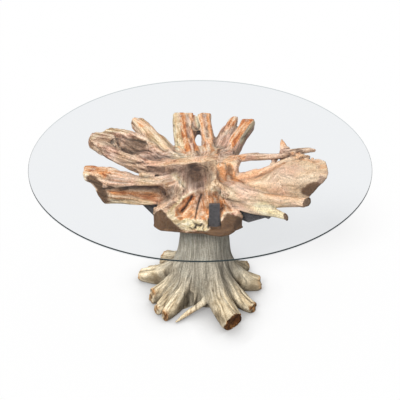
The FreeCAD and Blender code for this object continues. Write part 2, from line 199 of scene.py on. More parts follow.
# one closed quad skin round all the solids given, as a voxel remesh makes it
def voxelSkin(meshes, voxel):
    raw = setMesh("raw", *joined(meshes))
    skin = raw.modifiers.new("skin", "REMESH")
    skin.mode, skin.voxel_size, skin.adaptivity = "VOXEL", voxel, 0
    done = modified(raw)
    points = readValues(done.vertices, "co", 3).astype(float)
    quads = readValues(done.loops, "vertex_index", 1, np.int32).reshape(-1, 4)
    bpy.data.objects.remove(raw)
    return largestShell(points, quads)


# keeps the outer skin: labels spread to the lowest number along edges until each shell has one
def largestShell(points, quads):
    label = np.arange(len(points))
    while True:
        new = label.copy()
        np.minimum.at(new, quads.ravel(), np.repeat(label[quads].min(1), 4))
        new = new[new]
        if np.array_equal(new, label):
            break
        label = new
    keep = label == np.bincount(label).argmax()
    index = np.cumsum(keep) - 1
    return points[keep], index[quads[keep[quads[:, 0]]]]


# every edge of the quads once
def quadEdges(quads):
    pairs = np.sort(np.concatenate([quads[:, [i, (i + 1) % 4]] for i in range(4)]), 1)
    return np.unique(pairs, axis=0)


# mean of each point's neighbours
def neighborMean(values, edges):
    a, b = edges.T
    count = np.bincount(np.r_[a, b], minlength=len(values))
    cols = values.reshape(len(values), -1).T
    total = [np.bincount(a, col[b], len(values)) + np.bincount(b, col[a], len(values)) for col in cols]
    return (np.stack(total, 1) / count[:, None]).reshape(values.shape)


# each round moves every point part of the way to the middle of its neighbours
def relaxed(points, edges, rounds, share=0.5):
    for turn in range(rounds):
        points = points + share * (neighborMean(points, edges) - points)
    return points


# normal of a point: the sum of the cross products of the diagonals of its faces
def outward(points, quads):
    face = np.cross(points[quads[:, 2]] - points[quads[:, 0]], points[quads[:, 3]] - points[quads[:, 1]])
    total = [np.bincount(quads.ravel(), np.repeat(face[:, k], 4), len(points)) for k in range(3)]
    return unit(np.stack(total, 1), 1e-12)


# noise from -1 to 1: random values on whole-number corners, eased between the eight round each place
def smoothNoise(where, seed):
    base = np.floor(where).astype(np.int64)
    part = where - base
    ease = part * part * (3 - 2 * part)
    total = np.zeros(len(where))
    for corner in range(8):
        pick = np.array([corner & 1, corner >> 1 & 1, corner >> 2 & 1])
        cell = base + pick
        mix = (cell[:, 0] * 73856093) ^ (cell[:, 1] * 19349663) ^ (cell[:, 2] * 83492791) ^ (seed * 265443576)
        mix = ((mix ^ (mix >> 13)) * 1274126177) & 0xFFFFFFFF
        mix = ((mix ^ (mix >> 15)) * 2246822519) & 0xFFFFFFFF
        mix = mix ^ (mix >> 16)
        total += np.prod(np.where(pick, ease, 1 - ease), 1) * ((mix & 0xFFFF) / 32767.5 - 1)
    return total


# noise of a size in mm at the points themselves
def speckle(points, size, seed):
    return smoothNoise(points / (size * mm), seed)


# 0 below low, 1 above high, eased between
def stepUp(low, high, value):
    t = np.clip((value - low) / (high - low), 0, 1)
    return t * t * (3 - 2 * t)


# strands along the grain: where a stretched noise crosses zero lies a narrow groove,
# and between grooves it swells
def strands(grainPlace, points, rows):
    total = np.zeros(len(points))
    for length, width, depth, seed in rows:
        sway = [speckle(points, 4 * width, seed + 100), speckle(points, 4 * width, seed + 200)]
        sway = np.stack([0 * points[:, 0], *sway], 1)
        sizes = np.array([length, width, width]) * mm
        wave = smoothNoise((grainPlace + sway * 0.5 * width * mm) / sizes, seed)
        total += depth * (0.6 * np.abs(wave) - np.exp(-(wave / 0.14) ** 2))
    return total


# nearest place on a path of straight stretches: distance, length along, offset from the path
# and its direction there
def alongPath(points, path):
    best = np.full(len(points), 1e9)
    length = np.zeros(len(points))
    offset = np.zeros((len(points), 3))
    ahead = np.zeros((len(points), 3))
    run = 0.0
    for a, b in zip(path[:-1], path[1:]):
        step = b - a
        size = np.linalg.norm(step) + 1e-9
        t = np.clip((points - a) @ step / size ** 2, 0, 1)
        away = points - a - t[:, None] * step
        far = np.linalg.norm(away, axis=1)
        near = far < best
        best = np.where(near, far, best)
        length = np.where(near, run + t * size, length)
        offset[near] = away[near]
        ahead[near] = step / size
        run += size
    return best, length, offset, ahead


# distance to a path as a share of a radius; path and radius in mm
def pathShare(points, path, radius):
    path = np.asarray(path, float).reshape(-1, 3) * mm
    path = path if len(path) > 1 else np.concatenate([path, path + 1e-6])
    return alongPath(points, path)[0] / (radius * mm)


# soft-edged stain round a path, its edge broken by noise
def stain(points, path, radius, ragged=0):
    return 1 - stepUp(0.75, 1.15, pathShare(points, path, radius) + 0.3 * ragged)


# shade that fades evenly away from a path
def haze(points, path, radius):
    return np.exp(-pathShare(points, path, radius) ** 2)


# a cut plane: its direction, how far each point lies beyond it, and how far aside of its middle; middle in mm
def fromPlane(points, middle, facing):
    facing = unit(np.array(facing))
    away = points - np.array(middle) * mm
    beyond = away @ facing
    return facing, beyond, np.linalg.norm(away - beyond[:, None] * facing, axis=1)


# painted shading, light where the skin stands out and dark where it lies low: a base, plus how far a point
# stands out of the skin relaxed a few rounds, plus, within limits, how far it stands out of the skin relaxed
# many rounds, each in mm over a full depth
def paintedShadingOf(points, quads, edges, look):
    near = relaxed(points, edges, look["rounds"])
    broad = relaxed(near, edges, look["moreRounds"])
    normal = outward(points, quads)
    bulge, valley = (((points - skin) * normal).sum(1) / mm for skin in (near, broad))
    return look["base"] + bulge / look["bulge"] + np.clip(valley / look["valley"], *look["limits"])


# smooth shading, and one attribute on the points for each painted value
def setValues(piece, values):
    piece.data.polygons.foreach_set("use_smooth", np.ones(len(piece.data.polygons), bool))
    for name, value in values.items():
        kind, key = ("FLOAT_VECTOR", "vector") if value.ndim == 2 else ("FLOAT", "value")
        piece.data.attributes.new(name, kind, "POINT").data.foreach_set(key, value.astype(np.float32).ravel())


# camera: 4 m from a point on the table's axis, looking 34 degrees down
cameraLook = {"target": (-0.0007, 0.0, 0.5220), "distance": 4.0, "elevation": 34.14, "lens": 77.54,
              "sensor": 36}
rise = np.radians(cameraLook["elevation"])
backWay = Vector((0, -np.cos(rise), np.sin(rise)))
camera = newPiece("camera", bpy.data.cameras.new("camera"))
camera.data.lens = cameraLook["lens"]
camera.data.sensor_width = cameraLook["sensor"]
camera.location = Vector(cameraLook["target"]) + backWay * cameraLook["distance"]
camera.rotation_mode = "QUATERNION"
camera.rotation_quaternion = (-backWay).to_track_quat("-Z", "Y")
scene.camera = camera
scene.view_settings.view_transform = "Standard"

# plain soft studio: an even white surround and one wide far lamp from the upper left
# the last two floor settings are the reach and the stops of the painted contact shadow in the floor's glow
studioLook = {"surround": 0.34, "lampPlace": (-1.35, -2.35, 2.75), "lampSpread": 18.0, "lampPower": 2.9,
              "floorWhite": "#FFFFFF", "floorShade": "#8E8C8A", "floorGlow": 0.82, "floorHalf": 30.0,
              "paintedShadowReach": 0.13, "paintedContactShadow": [(0.0, "#7C7A79"), (0.6, "#CBCAC9"), (0.96, "#FFFFFF")]}
white = linearColor("#FFFFFF")
world = bpy.data.worlds.new("studio")
scene.world = world
world.use_nodes = True
tree = world.node_tree
tree.nodes.clear()
ray = addNode(tree, "LightPath")
seen = ray.outputs["Is Camera Ray"]
for kind in ("Is Transmission Ray", "Is Glossy Ray"):
    seen = addNode(tree, "Math", {"operation": "MAXIMUM"}, {0: seen, 1: ray.outputs[kind]})
dim = addNode(tree, "Background", {"Color": white, "Strength": studioLook["surround"]})
bright = addNode(tree, "Background", {"Color": white, "Strength": 1.0})
both = addNode(tree, "MixShader", {}, {0: seen, 1: dim, 2: bright})
addNode(tree, "OutputWorld", {}, {"Surface": both})

lamp = newPiece("lamp", bpy.data.lights.new("lamp", "SUN"))
lamp.data.angle = np.radians(studioLook["lampSpread"])
lamp.data.energy = studioLook["lampPower"]
lamp.visible_glossy = False   # no glare disc in the glass
lamp.location = studioLook["lampPlace"]
lamp.rotation_mode = "QUATERNION"
lamp.rotation_quaternion = (-lamp.location).to_track_quat("-Z", "Y")

half = studioLook["floorHalf"]
floorPoints = np.array([[-half, -half, 0], [half, -half, 0], [half, half, 0], [-half, half, 0]])
floor = setMesh("floor", floorPoints, np.array([[0, 1, 2, 3]]))
# painted studio floor: matt white to the camera and grey to light that bounces off it, part of it glowing so
# that the shadow stays faint; the glow is darker close under the feet, a painted contact shadow
floorPaint, tree = newMaterial("matt_white_floor_paint")
fromCamera = addNode(tree, "LightPath").outputs["Is Camera Ray"]
paint = addNode(tree, "Mix", {"data_type": "RGBA", 6: linearColor(studioLook["floorShade"]),
                              7: linearColor(studioLook["floorWhite"])}, {0: fromCamera})
matt = addNode(tree, "BsdfDiffuse", {}, {"Color": paint.outputs[2]})
# painted contact shadow: the glow darkens where the feet stand close
closeness = addNode(tree, "AmbientOcclusion", {"Distance": studioLook["paintedShadowReach"], "samples": 8})
paintedContactShadow = addNode(tree, "ValToRGB", {"stops": studioLook["paintedContactShadow"]}, {"Fac": closeness.outputs["AO"]})
glow = addNode(tree, "Emission", {"Strength": 1.0}, {"Color": paintedContactShadow})
share = addNode(tree, "Math", {"operation": "MULTIPLY", 1: studioLook["floorGlow"]}, {0: fromCamera})
both = addNode(tree, "MixShader", {}, {0: share, 1: matt, 2: glow})
addNode(tree, "OutputMaterial", {}, {"Surface": both})
floor.data.materials.append(floorPaint)
print("studio ready")


# noise patterns of a wood: each row is what it follows (the grain, or the piece's own space),
# its sizes in mm, detail, roughness and distortion
def woodNoises(tree, rows):
    sources = {"grain": addNode(tree, "Attribute", {"attribute_name": "grain"}).outputs["Vector"],
               "space": addNode(tree, "TexCoord").outputs["Object"]}
    noises = {}
    for name, (source, sizes, detail, roughness, distortion) in rows.items():
        scale = [1 / (size * mm) for size in sizes]
        scaled = addNode(tree, "Mapping", {"Scale": scale}, {"Vector": sources[source]})
        noises[name] = addNode(tree, "TexNoise", {"Scale": 1.0, "Detail": detail, "Roughness": roughness,
                                                  "Distortion": distortion}, {"Vector": scaled})
    return noises


# paints the ramp of each coat over the colour by its mask on the skin
def coated(tree, look, color, tone):
    for coat, stops in look["coats"].items():
        ramp = addNode(tree, "ValToRGB", {"stops": stops}, {"Fac": tone})
        color = addNode(tree, "Mix", {"data_type": "RGBA"}, {0: coat, 6: color, 7: ramp}).outputs[2]
    return color


# painted shade in cavities and painted light on what stands out, darker pores; closes the material with its
# bump
def woodSurface(tree, look, color, fuzz, height):
    dark, light = look["shade"]
    shade = addNode(tree, "MapRange", {"To Min": dark, "To Max": light}, {"Value": "cavity"})
    dark, light = look["pores"]
    pores = addNode(tree, "MapRange", {"From Min": 0.34, "From Max": 0.66, "To Min": dark, "To Max": light},
                    {"Value": fuzz})
    shade = addNode(tree, "Math", {"operation": "MULTIPLY"}, {0: shade, 1: pores})
    color = addNode(tree, "Mix", {"data_type": "RGBA", "blend_type": "MULTIPLY", 0: 1.0},
                    {6: color, 7: shade})
    bump = addNode(tree, "Bump", {"Strength": 0.7, "Distance": look["bump"] * mm}, {"Height": height})
    surface = addNode(tree, "BsdfPrincipled", {"Roughness": look["roughness"], "IOR": 1.45},
                      {"Base Color": color.outputs[2], "Normal": bump})
    addNode(tree, "OutputMaterial", {}, {"Surface": surface})


# weathered root wood: pale fibres in long streaks; cuts show orange heartwood and cream sapwood,
# sealed ends are chocolate brown, hollows are painted dark as painted shade
rootLook = {
    "noises": {"streak": ("grain", (150, 10, 10), 4.0, 0.62, 0.35),
               "band": ("grain", (220, 30, 30), 2.0, 0.5, 0.4),
               "crack": ("grain", (110, 3.6, 3.6), 2.0, 0.55, 0.6),
               "blotch": ("space", (110, 110, 110), 2.0, 0.5, 0.0),
               "fuzz": ("space", (6, 6, 6), 3.0, 0.7, 0.0)},   # coarser than real fibre, so that it shows
    "plain": [(0.34, "#946E4C"), (0.43, "#C9A27D"), (0.53, "#E3C29D"), (0.66, "#F2D9B8")],
    "rosy": [(0.34, "#A87257"), (0.43, "#D9A587"), (0.53, "#EEBFA2"), (0.66, "#F6D6C0")],
    # the weathered coat is also painted shade round the cave and under the spear strip
    "coats": {"weather": [(0.30, "#5A453B"), (0.43, "#9C7D6A"), (0.55, "#C6A38F"), (0.68, "#E0C1AD")],
              "sapwood": [(0.34, "#B99D71"), (0.43, "#E0CA9A"), (0.53, "#F0DEB6"), (0.66, "#F8ECCF")],
              "sawn": [(0.34, "#B25E28"), (0.43, "#DB8641"), (0.53, "#EDAB75"), (0.66, "#F8D5B2")],
              "sealed": [(0.30, "#533B26"), (0.50, "#694D36"), (0.70, "#826347")],
              # dark coat: painted shade in hollows, slots, grooves and splits, and the colour of dark broken
              # ends
              "hollow": [(0.30, "#3B251A"), (0.50, "#5C402D"), (0.70, "#7C5C45")]},
    "crackColor": "#4A3426", "calmTone": 0.56, "shade": (0.28, 1.28), "pores": (0.69, 1.25),
    "roughness": 0.62, "bump": 1.6}
rootWood, tree = newMaterial("weathered_root_wood")
noises = woodNoises(tree, rootLook["noises"])
tone = addNode(tree, "Mix", {"data_type": "FLOAT", 0: 0.25}, {2: noises["streak"], 3: noises["fuzz"]})
tone = addNode(tree, "Mix", {"data_type": "FLOAT", 0: 0.35}, {2: tone, 3: noises["band"]})
tone = addNode(tree, "MapRange", {"From Min": 0.31, "From Max": 0.69}, {"Value": tone})
tone = addNode(tree, "Mix", {"data_type": "FLOAT", 3: rootLook["calmTone"]}, {0: "calm", 2: tone})
blotchMask = addNode(tree, "MapRange", {"From Min": 0.42, "From Max": 0.6}, {"Value": noises["blotch"]})
plain, rosy = (addNode(tree, "ValToRGB", {"stops": rootLook[name]}, {"Fac": tone})
               for name in ("plain", "rosy"))
woodColor = addNode(tree, "Mix", {"data_type": "RGBA"}, {0: blotchMask, 6: plain, 7: rosy}).outputs[2]
woodColor = coated(tree, rootLook, woodColor, tone)
crackMask = addNode(tree, "MapRange", {"From Min": 0.6, "From Max": 0.67, "To Max": 0.75},
                    {"Value": noises["crack"]})
crackShare = addNode(tree, "Math", {"operation": "MULTIPLY"}, {0: crackMask, 1: "smoothCut"})
woodColor = addNode(tree, "Mix", {"data_type": "RGBA", 7: linearColor(rootLook["crackColor"])},
                    {0: crackShare, 6: woodColor}).outputs[2]
height = addNode(tree, "Mix", {"data_type": "FLOAT", 0: 0.35}, {2: noises["streak"], 3: noises["fuzz"]})
woodSurface(tree, rootLook, woodColor, noises["fuzz"], height)
print("root wood ready")

# crown: the hub and its eleven root sections under one grown skin, with the ridges and splinters between them
# each section's shares: calm colour, depth of strands, sawn top, weathering, sapwood
limbLooks = {
    "left_long_root": (0.35, 0.5, 0.35, 0, 0.2), "left_hollow_root": (0.1, 0.9, 0, 0.5, 0),
    "left_spur_root": (0.35, 0.6, 0.25, 0, 0), "left_spear_root": (0.7, 0.3, 0.3, 0, 0),
    "back_slotted_root": (0.4, 0.75, 0.25, 0, 0), "back_pointed_root": (0.2, 0.7, 0.4, 0.5, 0),
    "back_straight_root": (0.4, 0.7, 0.95, 0, 0), "right_thin_root": (0.2, 0.45, 0, 0.6, 0),
    "right_broad_root": (1.15, 0.26, 0.12, 0, 0.25), "right_forked_root": (1.05, 0.3, 0, 0, 0.2),
    "front_cut_root": (0.5, 0.5, 0, 0, 0)}
limbNames = list(limbLooks)
crownNodes = ["crown_hub", *limbNames]
# strands are length, width and depth in mm and a seed; slot is a path, radius and squeeze;
# lump is size and height
crownLook = {
    "firstVoxel": 5.0, "voxel": 4.6, "heart": (0.0, 0.0, 0.66), "hubReach": (0.14, 0.21), "hubRounds": 60,
    "hubLow": 0.60, "carveRounds": 26, "blockRounds": 3, "limbRounds": 4, "lump": (95, 5.0),
    "limbShift": 0.37, "endFacing": 0.7, "ringTurn": 0.06,
    "strands": [(230, 34, 7.0, 41), (130, 15, 3.2, 43)],
    "stumpTop": 0.596, "stumpReach": 0.215, "stumpFront": -0.13, "stumpRing": 0.17,
    "slot": ([(-6, 262, 690), (-6, 470, 549)], 44, 0.42), "stripReach": 26, "stripLow": 0.728,
    "wedgeReach": 22, "topBand": (-0.004, -0.0012), "stripBand": (-0.012, -0.006), "outOfHub": (0.10, 0.17),
    "frontBand": (0.120, 0.145), "caveFloor": 60, "tornRough": 8, "brokenRough": 5, "lip": 10,
    # the last entry sets the painted shading: lighter where the skin stands out, darker where it lies low
    "cavity": {"rounds": 12, "moreRounds": 60, "base": 0.72, "bulge": 5.5, "valley": 34,
               "limits": (-0.4, 0.12)}}
# places on the crown: path and radius, mm
crownSpots = {
    "nest": ([(-372, 196, 732), (-305, 170, 712), (-250, 122, 724)], 62),
    "cave": ([(-30, -40, 715), (-12, -75, 690), (-6, -120, 672)], 80),
    "knob": ([(-418, -138, 687)], 13),
    "torn": ([(440, 20, 738), (505, 0, 738)], 48),
    "splits": ([(440, 40, 738), (505, 0, 738)], 50),
    "broken": ([(-30, -206, 528), (18, -210, 530), (24, -200, 548)], 26),
    "saddle": ([(-2, -140, 668), (-6, -160, 630), (-12, -176, 596)], 24)}
# flat strips: points, half widths in mm, the way it faces and what is left of its thickness
crownStrips = {
    "spear": ([(-258, -41, 735), (-200, -32, 735), (-143, -24, 735), (-98, -16, 735), (-49, -6, 735),
               (3, 6, 735), (60, 10, 735)], [3, 14, 23, 25, 22, 16, 10], (0, 0, 1), 0.45),
    "splinter": ([(404, 60, 700), (396, 100, 716), (386, 140, 731), (379, 188, 742)], [34, 31, 19, 2],
                 (0.1, -0.5, 1), 0.5),
    "wedge": ([(94, -46, 742), (99, -50, 706), (103, -60, 645)], [22, 20, 5], (0, -1, 0.25), 0.5)}
# hollows pressed into the block from outside: points along the middle of the hollow and its radii, mm
crownCarves = [
    ([(-26, -58, 732), (-22, -62, 704), (-14, -94, 686)], [44, 42, 32]),
    ([(14, -74, 728), (44, -104, 716)], [44, 38]),
    ([(-215, -98, 734), (-150, -98, 732), (-80, -92, 730)], [22, 28, 36]),
    ([(-236, 12, 757), (-150, 34, 755), (-70, 52, 753)], [20, 23, 18]),
    ([(-372, 196, 752), (-305, 170, 746), (-250, 122, 744)], [34, 56, 38]),
    ([(60, -84, 738), (78, -104, 722)], [26, 24]),
    ([(134, -24, 748), (146, -62, 712)], [15, 22]),
    ([(-255, 130, 756), (-120, 14, 752)], [24, 18]),
    ([(-150, 185, 757), (-84, 28, 750)], [26, 18]),
    ([(0, 130, 752), (-4, 20, 750)], [17, 15]),
    ([(84, 165, 757), (50, 18, 750)], [24, 16]),
    ([(135, 140, 755), (84, 10, 750)], [17, 14]),
    ([(205, 120, 757), (110, 18, 750)], [24, 15]),
    ([(-355, -158, 664), (-270, -148, 656), (-185, -150, 650)], [34, 46, 42]),
    ([(-500, -150, 690), (-425, -160, 636)], [34, 40]),
    ([(-470, 150, 772), (-380, 110, 768), (-300, 60, 766)], [30, 34, 34]),
    ([(-64, 420, 756), (-54, 200, 757)], [15, 16]),
    ([(24, 420, 756), (38, 200, 757)], [15, 16]),
    ([(536, -176, 690), (476, -182, 650)], [34, 34]),
    ([(400, -170, 690), (470, -186, 720)], [34, 34]),
    ([(206, -44, 756), (196, -40, 706)], [38, 30])]
# ridges and splinters that grow over it: points and radii, mm
crownRidges = [
    ([(-130, -66, 694), (-185, -94, 690), (-260, -104, 690), (-350, -108, 710)], [20, 18, 16, 13]),
    ([(365, 86, 734), (440, 95, 735), (512, 102, 736)], [11, 10, 9]),
    ([(-122, -72, 696), (-98, -112, 684), (-72, -136, 664)], [16, 14, 11]),
    ([(-255, 12, 710), (-200, -24, 704), (-150, -48, 700), (-108, -66, 692)], [22, 26, 27, 20]),
    ([(120, 20, 728), (150, 27, 730), (209, 42, 731), (270, 57, 733)], [17, 16, 15, 11]),
    ([(-486, -128, 722), (-420, -130, 706), (-350, -130, 692), (-270, -122, 690), (-185, -112, 684),
      (-130, -96, 672)], [6, 8, 8, 9, 11, 14]),
    ([(-410, -124, 604), (-300, -126, 594), (-200, -126, 592)], [8, 10, 12]),
    ([(-428, -112, 692), (-418, -136, 686)], [13, 12]),
    ([(58, -98, 690), (98, -130, 664), (150, -150, 650), (215, -165, 647)], [18, 22, 24, 20]),
    ([(165, -38, 664), (235, -30, 686), (310, -22, 708), (375, -6, 728), (430, 22, 736), (470, 46, 737)],
     [20, 16, 15, 16, 16, 10]),
    ([(-512, 186, 734), (-425, 104, 735), (-330, 40, 737), (-240, -5, 732), (-150, -20, 728)],
     [5, 12, 12, 12, 12]),
    ([(-508, 196, 734), (-462, 252, 733), (-417, 274, 736), (-355, 258, 737), (-305, 240, 735),
      (-225, 150, 734)], [5, 10, 11, 11, 10, 10]),
    ([(-320, 398, 737), (-240, 258, 738), (-160, 120, 737), (-90, 20, 736)], [7, 9, 10, 10]),
    ([(-66, 130, 737), (-40, 60, 737), (-20, 5, 738)], [14, 13, 11]),
    ([(-46, 300, 731), (-40, 220, 731), (-32, 140, 731)], [14, 14, 15]),
    ([(40, 130, 737), (30, 60, 737), (20, 5, 738)], [13, 12, 11]),
    ([(446, 46, 722), (454, 66, 732)], [15, 12]),
    ([(474, 24, 726), (486, 44, 731)], [16, 13]),
    ([(428, 10, 722), (444, 22, 730)], [13, 15]),
    ([(462, -18, 724), (474, 2, 731)], [15, 13]),
    ([(498, 2, 727), (512, 14, 732)], [14, 11]),
    ([(490, -42, 726), (502, -24, 732)], [13, 13]),
    ([(456, 60, 734), (464, 84, 741)], [8, 3]),
    ([(300, -212, 612), (340, -226, 602), (372, -237, 595), (398, -247, 590)], [18, 16, 14, 13]),
    ([(410, 92, 714), (412, 116, 722), (410, 136, 730)], [12, 9, 3]),
    ([(320, -6, 690), (338, 50, 700), (364, 92, 712)], [13, 12, 10]),
    ([(338, 50, 700), (330, 72, 706), (322, 84, 712)], [9, 8, 3]),
    ([(140, -34, 690), (160, -22, 706), (176, 12, 730)], [18, 12, 7]),
    ([(230, -164, 654), (330, -186, 650), (420, -198, 647), (462, -210, 652), (492, -217, 653)],
     [20, 21, 21, 22, 22]),
    ([(150, -140, 664), (240, -168, 668), (330, -186, 662), (400, -194, 658)], [14, 13, 9, 5]),
    ([(-8, 348, 716), (-8, 425, 722)], [16, 18]),
    ([(-275, -46, 692), (-238, -52, 690), (-200, -60, 686)], [9, 17, 22]),
    ([(0, -200, 503), (45, -211, 499), (90, -214, 497), (125, -208, 499), (152, -192, 504)],
     [8, 12, 14, 13, 8])]


# pushes the points that lie inside a hollow out to its wall, away from its middle line
def carved(points, path, radii):
    path = smoothPath(np.asarray(path, float) * mm, 16)
    far, run, away, ahead = alongPath(points, path)
    total = np.linalg.norm(np.diff(path, axis=0), axis=1).sum()
    reach = between(radii, run / total) * mm
    grow = np.where(far < reach, reach / np.maximum(far, 1e-6), 1.0)
    return points + away * (grow - 1)[:, None]


# opening under the bridge of the slotted root: a flat tube along the line of its slot is taken out
def opened(mesh, path, radius, squeeze):
    whole = setMesh("whole", *mesh)
    points, tris = tube(path, [radius, radius])
    middle = points[:, 0].mean()
    points[:, 0] = middle + squeeze * (points[:, 0] - middle)
    tool = setMesh("tool", points, tris)
    cut = whole.modifiers.new("cut", "BOOLEAN")
    cut.operation, cut.solver, cut.object = "DIFFERENCE", "EXACT", tool
    left = triangles(modified(whole))
    bpy.data.objects.remove(whole)
    bpy.data.objects.remove(tool)
    return left


# block: the solids under a first skin, eased together at the hub and hollowed out
crownMeshes = {name: cadMesh(name) for name in crownNodes}
solids = dict(crownMeshes)
solids["back_slotted_root"] = opened(crownMeshes["back_slotted_root"], *crownLook["slot"])
del solids["left_spear_root"]   # comes back below as a flat strip
points, quads = voxelSkin([*solids.values(), cadMesh("front_upright")], crownLook["firstVoxel"] * mm)
edges = quadEdges(quads)
hubShare = 1 - stepUp(*crownLook["hubReach"], np.linalg.norm(points[:, :2], axis=1))
hubShare = np.where(points[:, 2] < crownLook["hubLow"], 0.1 * hubShare, hubShare)
points = relaxed(points, edges, crownLook["hubRounds"], 0.5 * hubShare[:, None])
for path, radii in crownCarves:
    points = carved(points, path, radii)
points = relaxed(points, edges, crownLook["carveRounds"], 0.5 * hubShare[:, None])
for name in ("nest", "cave"):
    share = haze(points, *crownSpots[name])
    points = relaxed(points, edges, crownLook["carveRounds"], 0.5 * share[:, None])
points = relaxed(points, edges, crownLook["blockRounds"])
block = (points, np.concatenate([quads[:, [0, 1, 2]], quads[:, [0, 2, 3]]]))
grown = [pressed(*row) for row in crownStrips.values()] + [tube(*row) for row in crownRidges]
points, quads = voxelSkin([block] + grown, crownLook["voxel"] * mm)
edges = quadEdges(quads)
print("crown skin:", len(points), "points", len(quads), "quads")


# middle line of a limb: from the heart of the crown through the area-weighted middles of slices along it;
# its thickness is the root mean square distance from that line
def limbLine(name):
    spots, tris = crownMeshes[name]
    corners = spots[tris]
    area = np.linalg.norm(np.cross(corners[:, 1] - corners[:, 0], corners[:, 2] - corners[:, 0]), axis=1)
    middle = corners.mean(1)
    heart = np.array(crownLook["heart"])
    way = (middle * area[:, None]).sum(0) / area.sum() - heart
    run = (middle - heart) @ way / np.linalg.norm(way)
    cuts = np.linspace(run.min(), run.max(), 6)
    line = [heart]
    for low, high in zip(cuts[:-1], cuts[1:]):
        weight = area * ((run >= low) & (run <= high))
        line.append((middle * weight[:, None]).sum(0) / (weight.sum() + 1e-12))
    size = np.sqrt((area * alongPath(middle, np.array(line))[0] ** 2).sum() / area.sum())
    return np.array(line), size


# owner: the limb whose middle line is nearest, measured by its own thickness
limbLines = [limbLine(name) for name in limbNames]
owner = np.stack([alongPath(points, line)[0] / (size + 0.012) for line, size in limbLines], 1).argmin(1)
spearPath, wedgePath = crownStrips["spear"][0], crownStrips["wedge"][0]
onSpear = pathShare(points, spearPath, crownLook["stripReach"]) < 1
owner[onSpear & (points[:, 2] > crownLook["stripLow"])] = limbNames.index("left_spear_root")
frontLimb = owner == limbNames.index("front_cut_root")
topLevel = float(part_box("glass_bumpers")[0].z)
lowLevel = float(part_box("crown_hub")[0].z)
topFlat = stepUp(*crownLook["topBand"], points[:, 2] - topLevel)
fromAxis = np.linalg.norm(points[:, :2], axis=1)
points = relaxed(points, edges, crownLook["limbRounds"])
x, y, z = points.T

# grain frame: along the limb, across it and up
along = np.zeros(len(points))
offset = np.zeros((len(points), 3))
ahead = np.zeros((len(points), 3))
for i, (line, size) in enumerate(limbLines):
    mine = owner == i
    along[mine], offset[mine], ahead[mine] = alongPath(points[mine], line)[1:]
side = unit(np.cross(ahead, (0, 0, 1.0)), 1e-9)
across, over = (offset * side).sum(1), (offset * np.cross(side, ahead)).sum(1)
limbShift = crownLook["limbShift"] * owner   # so that no two limbs share a pattern
grainPlace = np.stack([along, across + limbShift, over], 1)
# across a sawn end the grain runs in rings round the limb's middle line, and round the stump it runs upright
normal = outward(points, quads)
endOn = np.abs((normal * ahead).sum(1)) > crownLook["endFacing"]
ringRun = crownLook["ringTurn"] * np.abs(np.arctan2(over, across))
ringPlace = np.stack([ringRun, np.linalg.norm(offset, axis=1), limbShift], 1)
grainPlace = np.where(endOn[:, None], ringPlace, grainPlace)
stump = (z < crownLook["stumpTop"]) & (fromAxis < crownLook["stumpReach"])
stump &= ~(frontLimb & (y < crownLook["stumpFront"]))
turn = np.arctan2(y, x)
ring = crownLook["stumpRing"]
grainPlace[stump] = np.stack([z, ring * np.cos(turn), ring * np.sin(turn)], 1)[stump]


# gap to a polygon in the front view, mm: below zero inside it
def polygonGap(x, z, corners):
    corners = np.asarray(corners, float)
    gap = np.full(len(x), 1e9)
    inside = np.zeros(len(x), bool)
    for (ax, az), (bx, bz) in zip(corners, np.roll(corners, -1, 0)):
        t = np.clip(((x - ax) * (bx - ax) + (z - az) * (bz - az)) / ((bx - ax) ** 2 + (bz - az) ** 2), 0, 1)
        gap = np.minimum(gap, np.hypot(x - ax - t * (bx - ax), z - az - t * (bz - az)))
        inside ^= ((az > z) != (bz > z)) & (x < (bx - ax) * (z - az) / (bz - az + 1e-9) + ax)
    return np.where(inside, -gap, gap)


# the front root's oblique face, corners as x and z in mm: orange bowl, cream rim and two brown sealed cuts;
# wear is how far noise shifts the edge of each
bowlLook = {
    "depth": 32, "slope": 46, "notch": 16, "wear": (8, 4, 3),
    "bowl": [(16, 677), (80, 648), (129, 620), (172, 584), (116, 580), (92, 552), (31, 547), (-16, 546),
             (-86, 549), (-119, 563), (-116, 592), (-75, 630), (-30, 651), (2, 670)],
    "cream": [(16, 686), (84, 657), (135, 628), (186, 584), (120, 572), (84, 526), (26, 497), (-73, 500),
              (-113, 511), (-154, 548), (-146, 574), (-122, 606), (-82, 640), (-34, 660)],
    "sealed": [[(-270, 607), (-207, 607), (-172, 594), (-140, 553), (-83, 500), (-60, 470), (-270, 470)],
               [(80, 521), (118, 573), (187, 554), (270, 554), (270, 460), (-70, 460), (-70, 492), (-30, 500),
                (30, 503)]]}
ragged = speckle(points, 22, 21) + 0.5 * speckle(points, 10, 22)
onFront = stepUp(*crownLook["frontBand"], -y) * stepUp(0.1, 0.4, -normal[:, 1]) * frontLimb
bowlWear, creamWear, sealedWear = bowlLook["wear"]
bowlGap = polygonGap(x / mm, z / mm, bowlLook["bowl"]) + bowlWear * ragged
creamGap = polygonGap(x / mm, z / mm, bowlLook["cream"]) + creamWear * ragged
sealedGap = np.min([polygonGap(x / mm, z / mm, corners) for corners in bowlLook["sealed"]], 0)
sealedGap += sealedWear * ragged
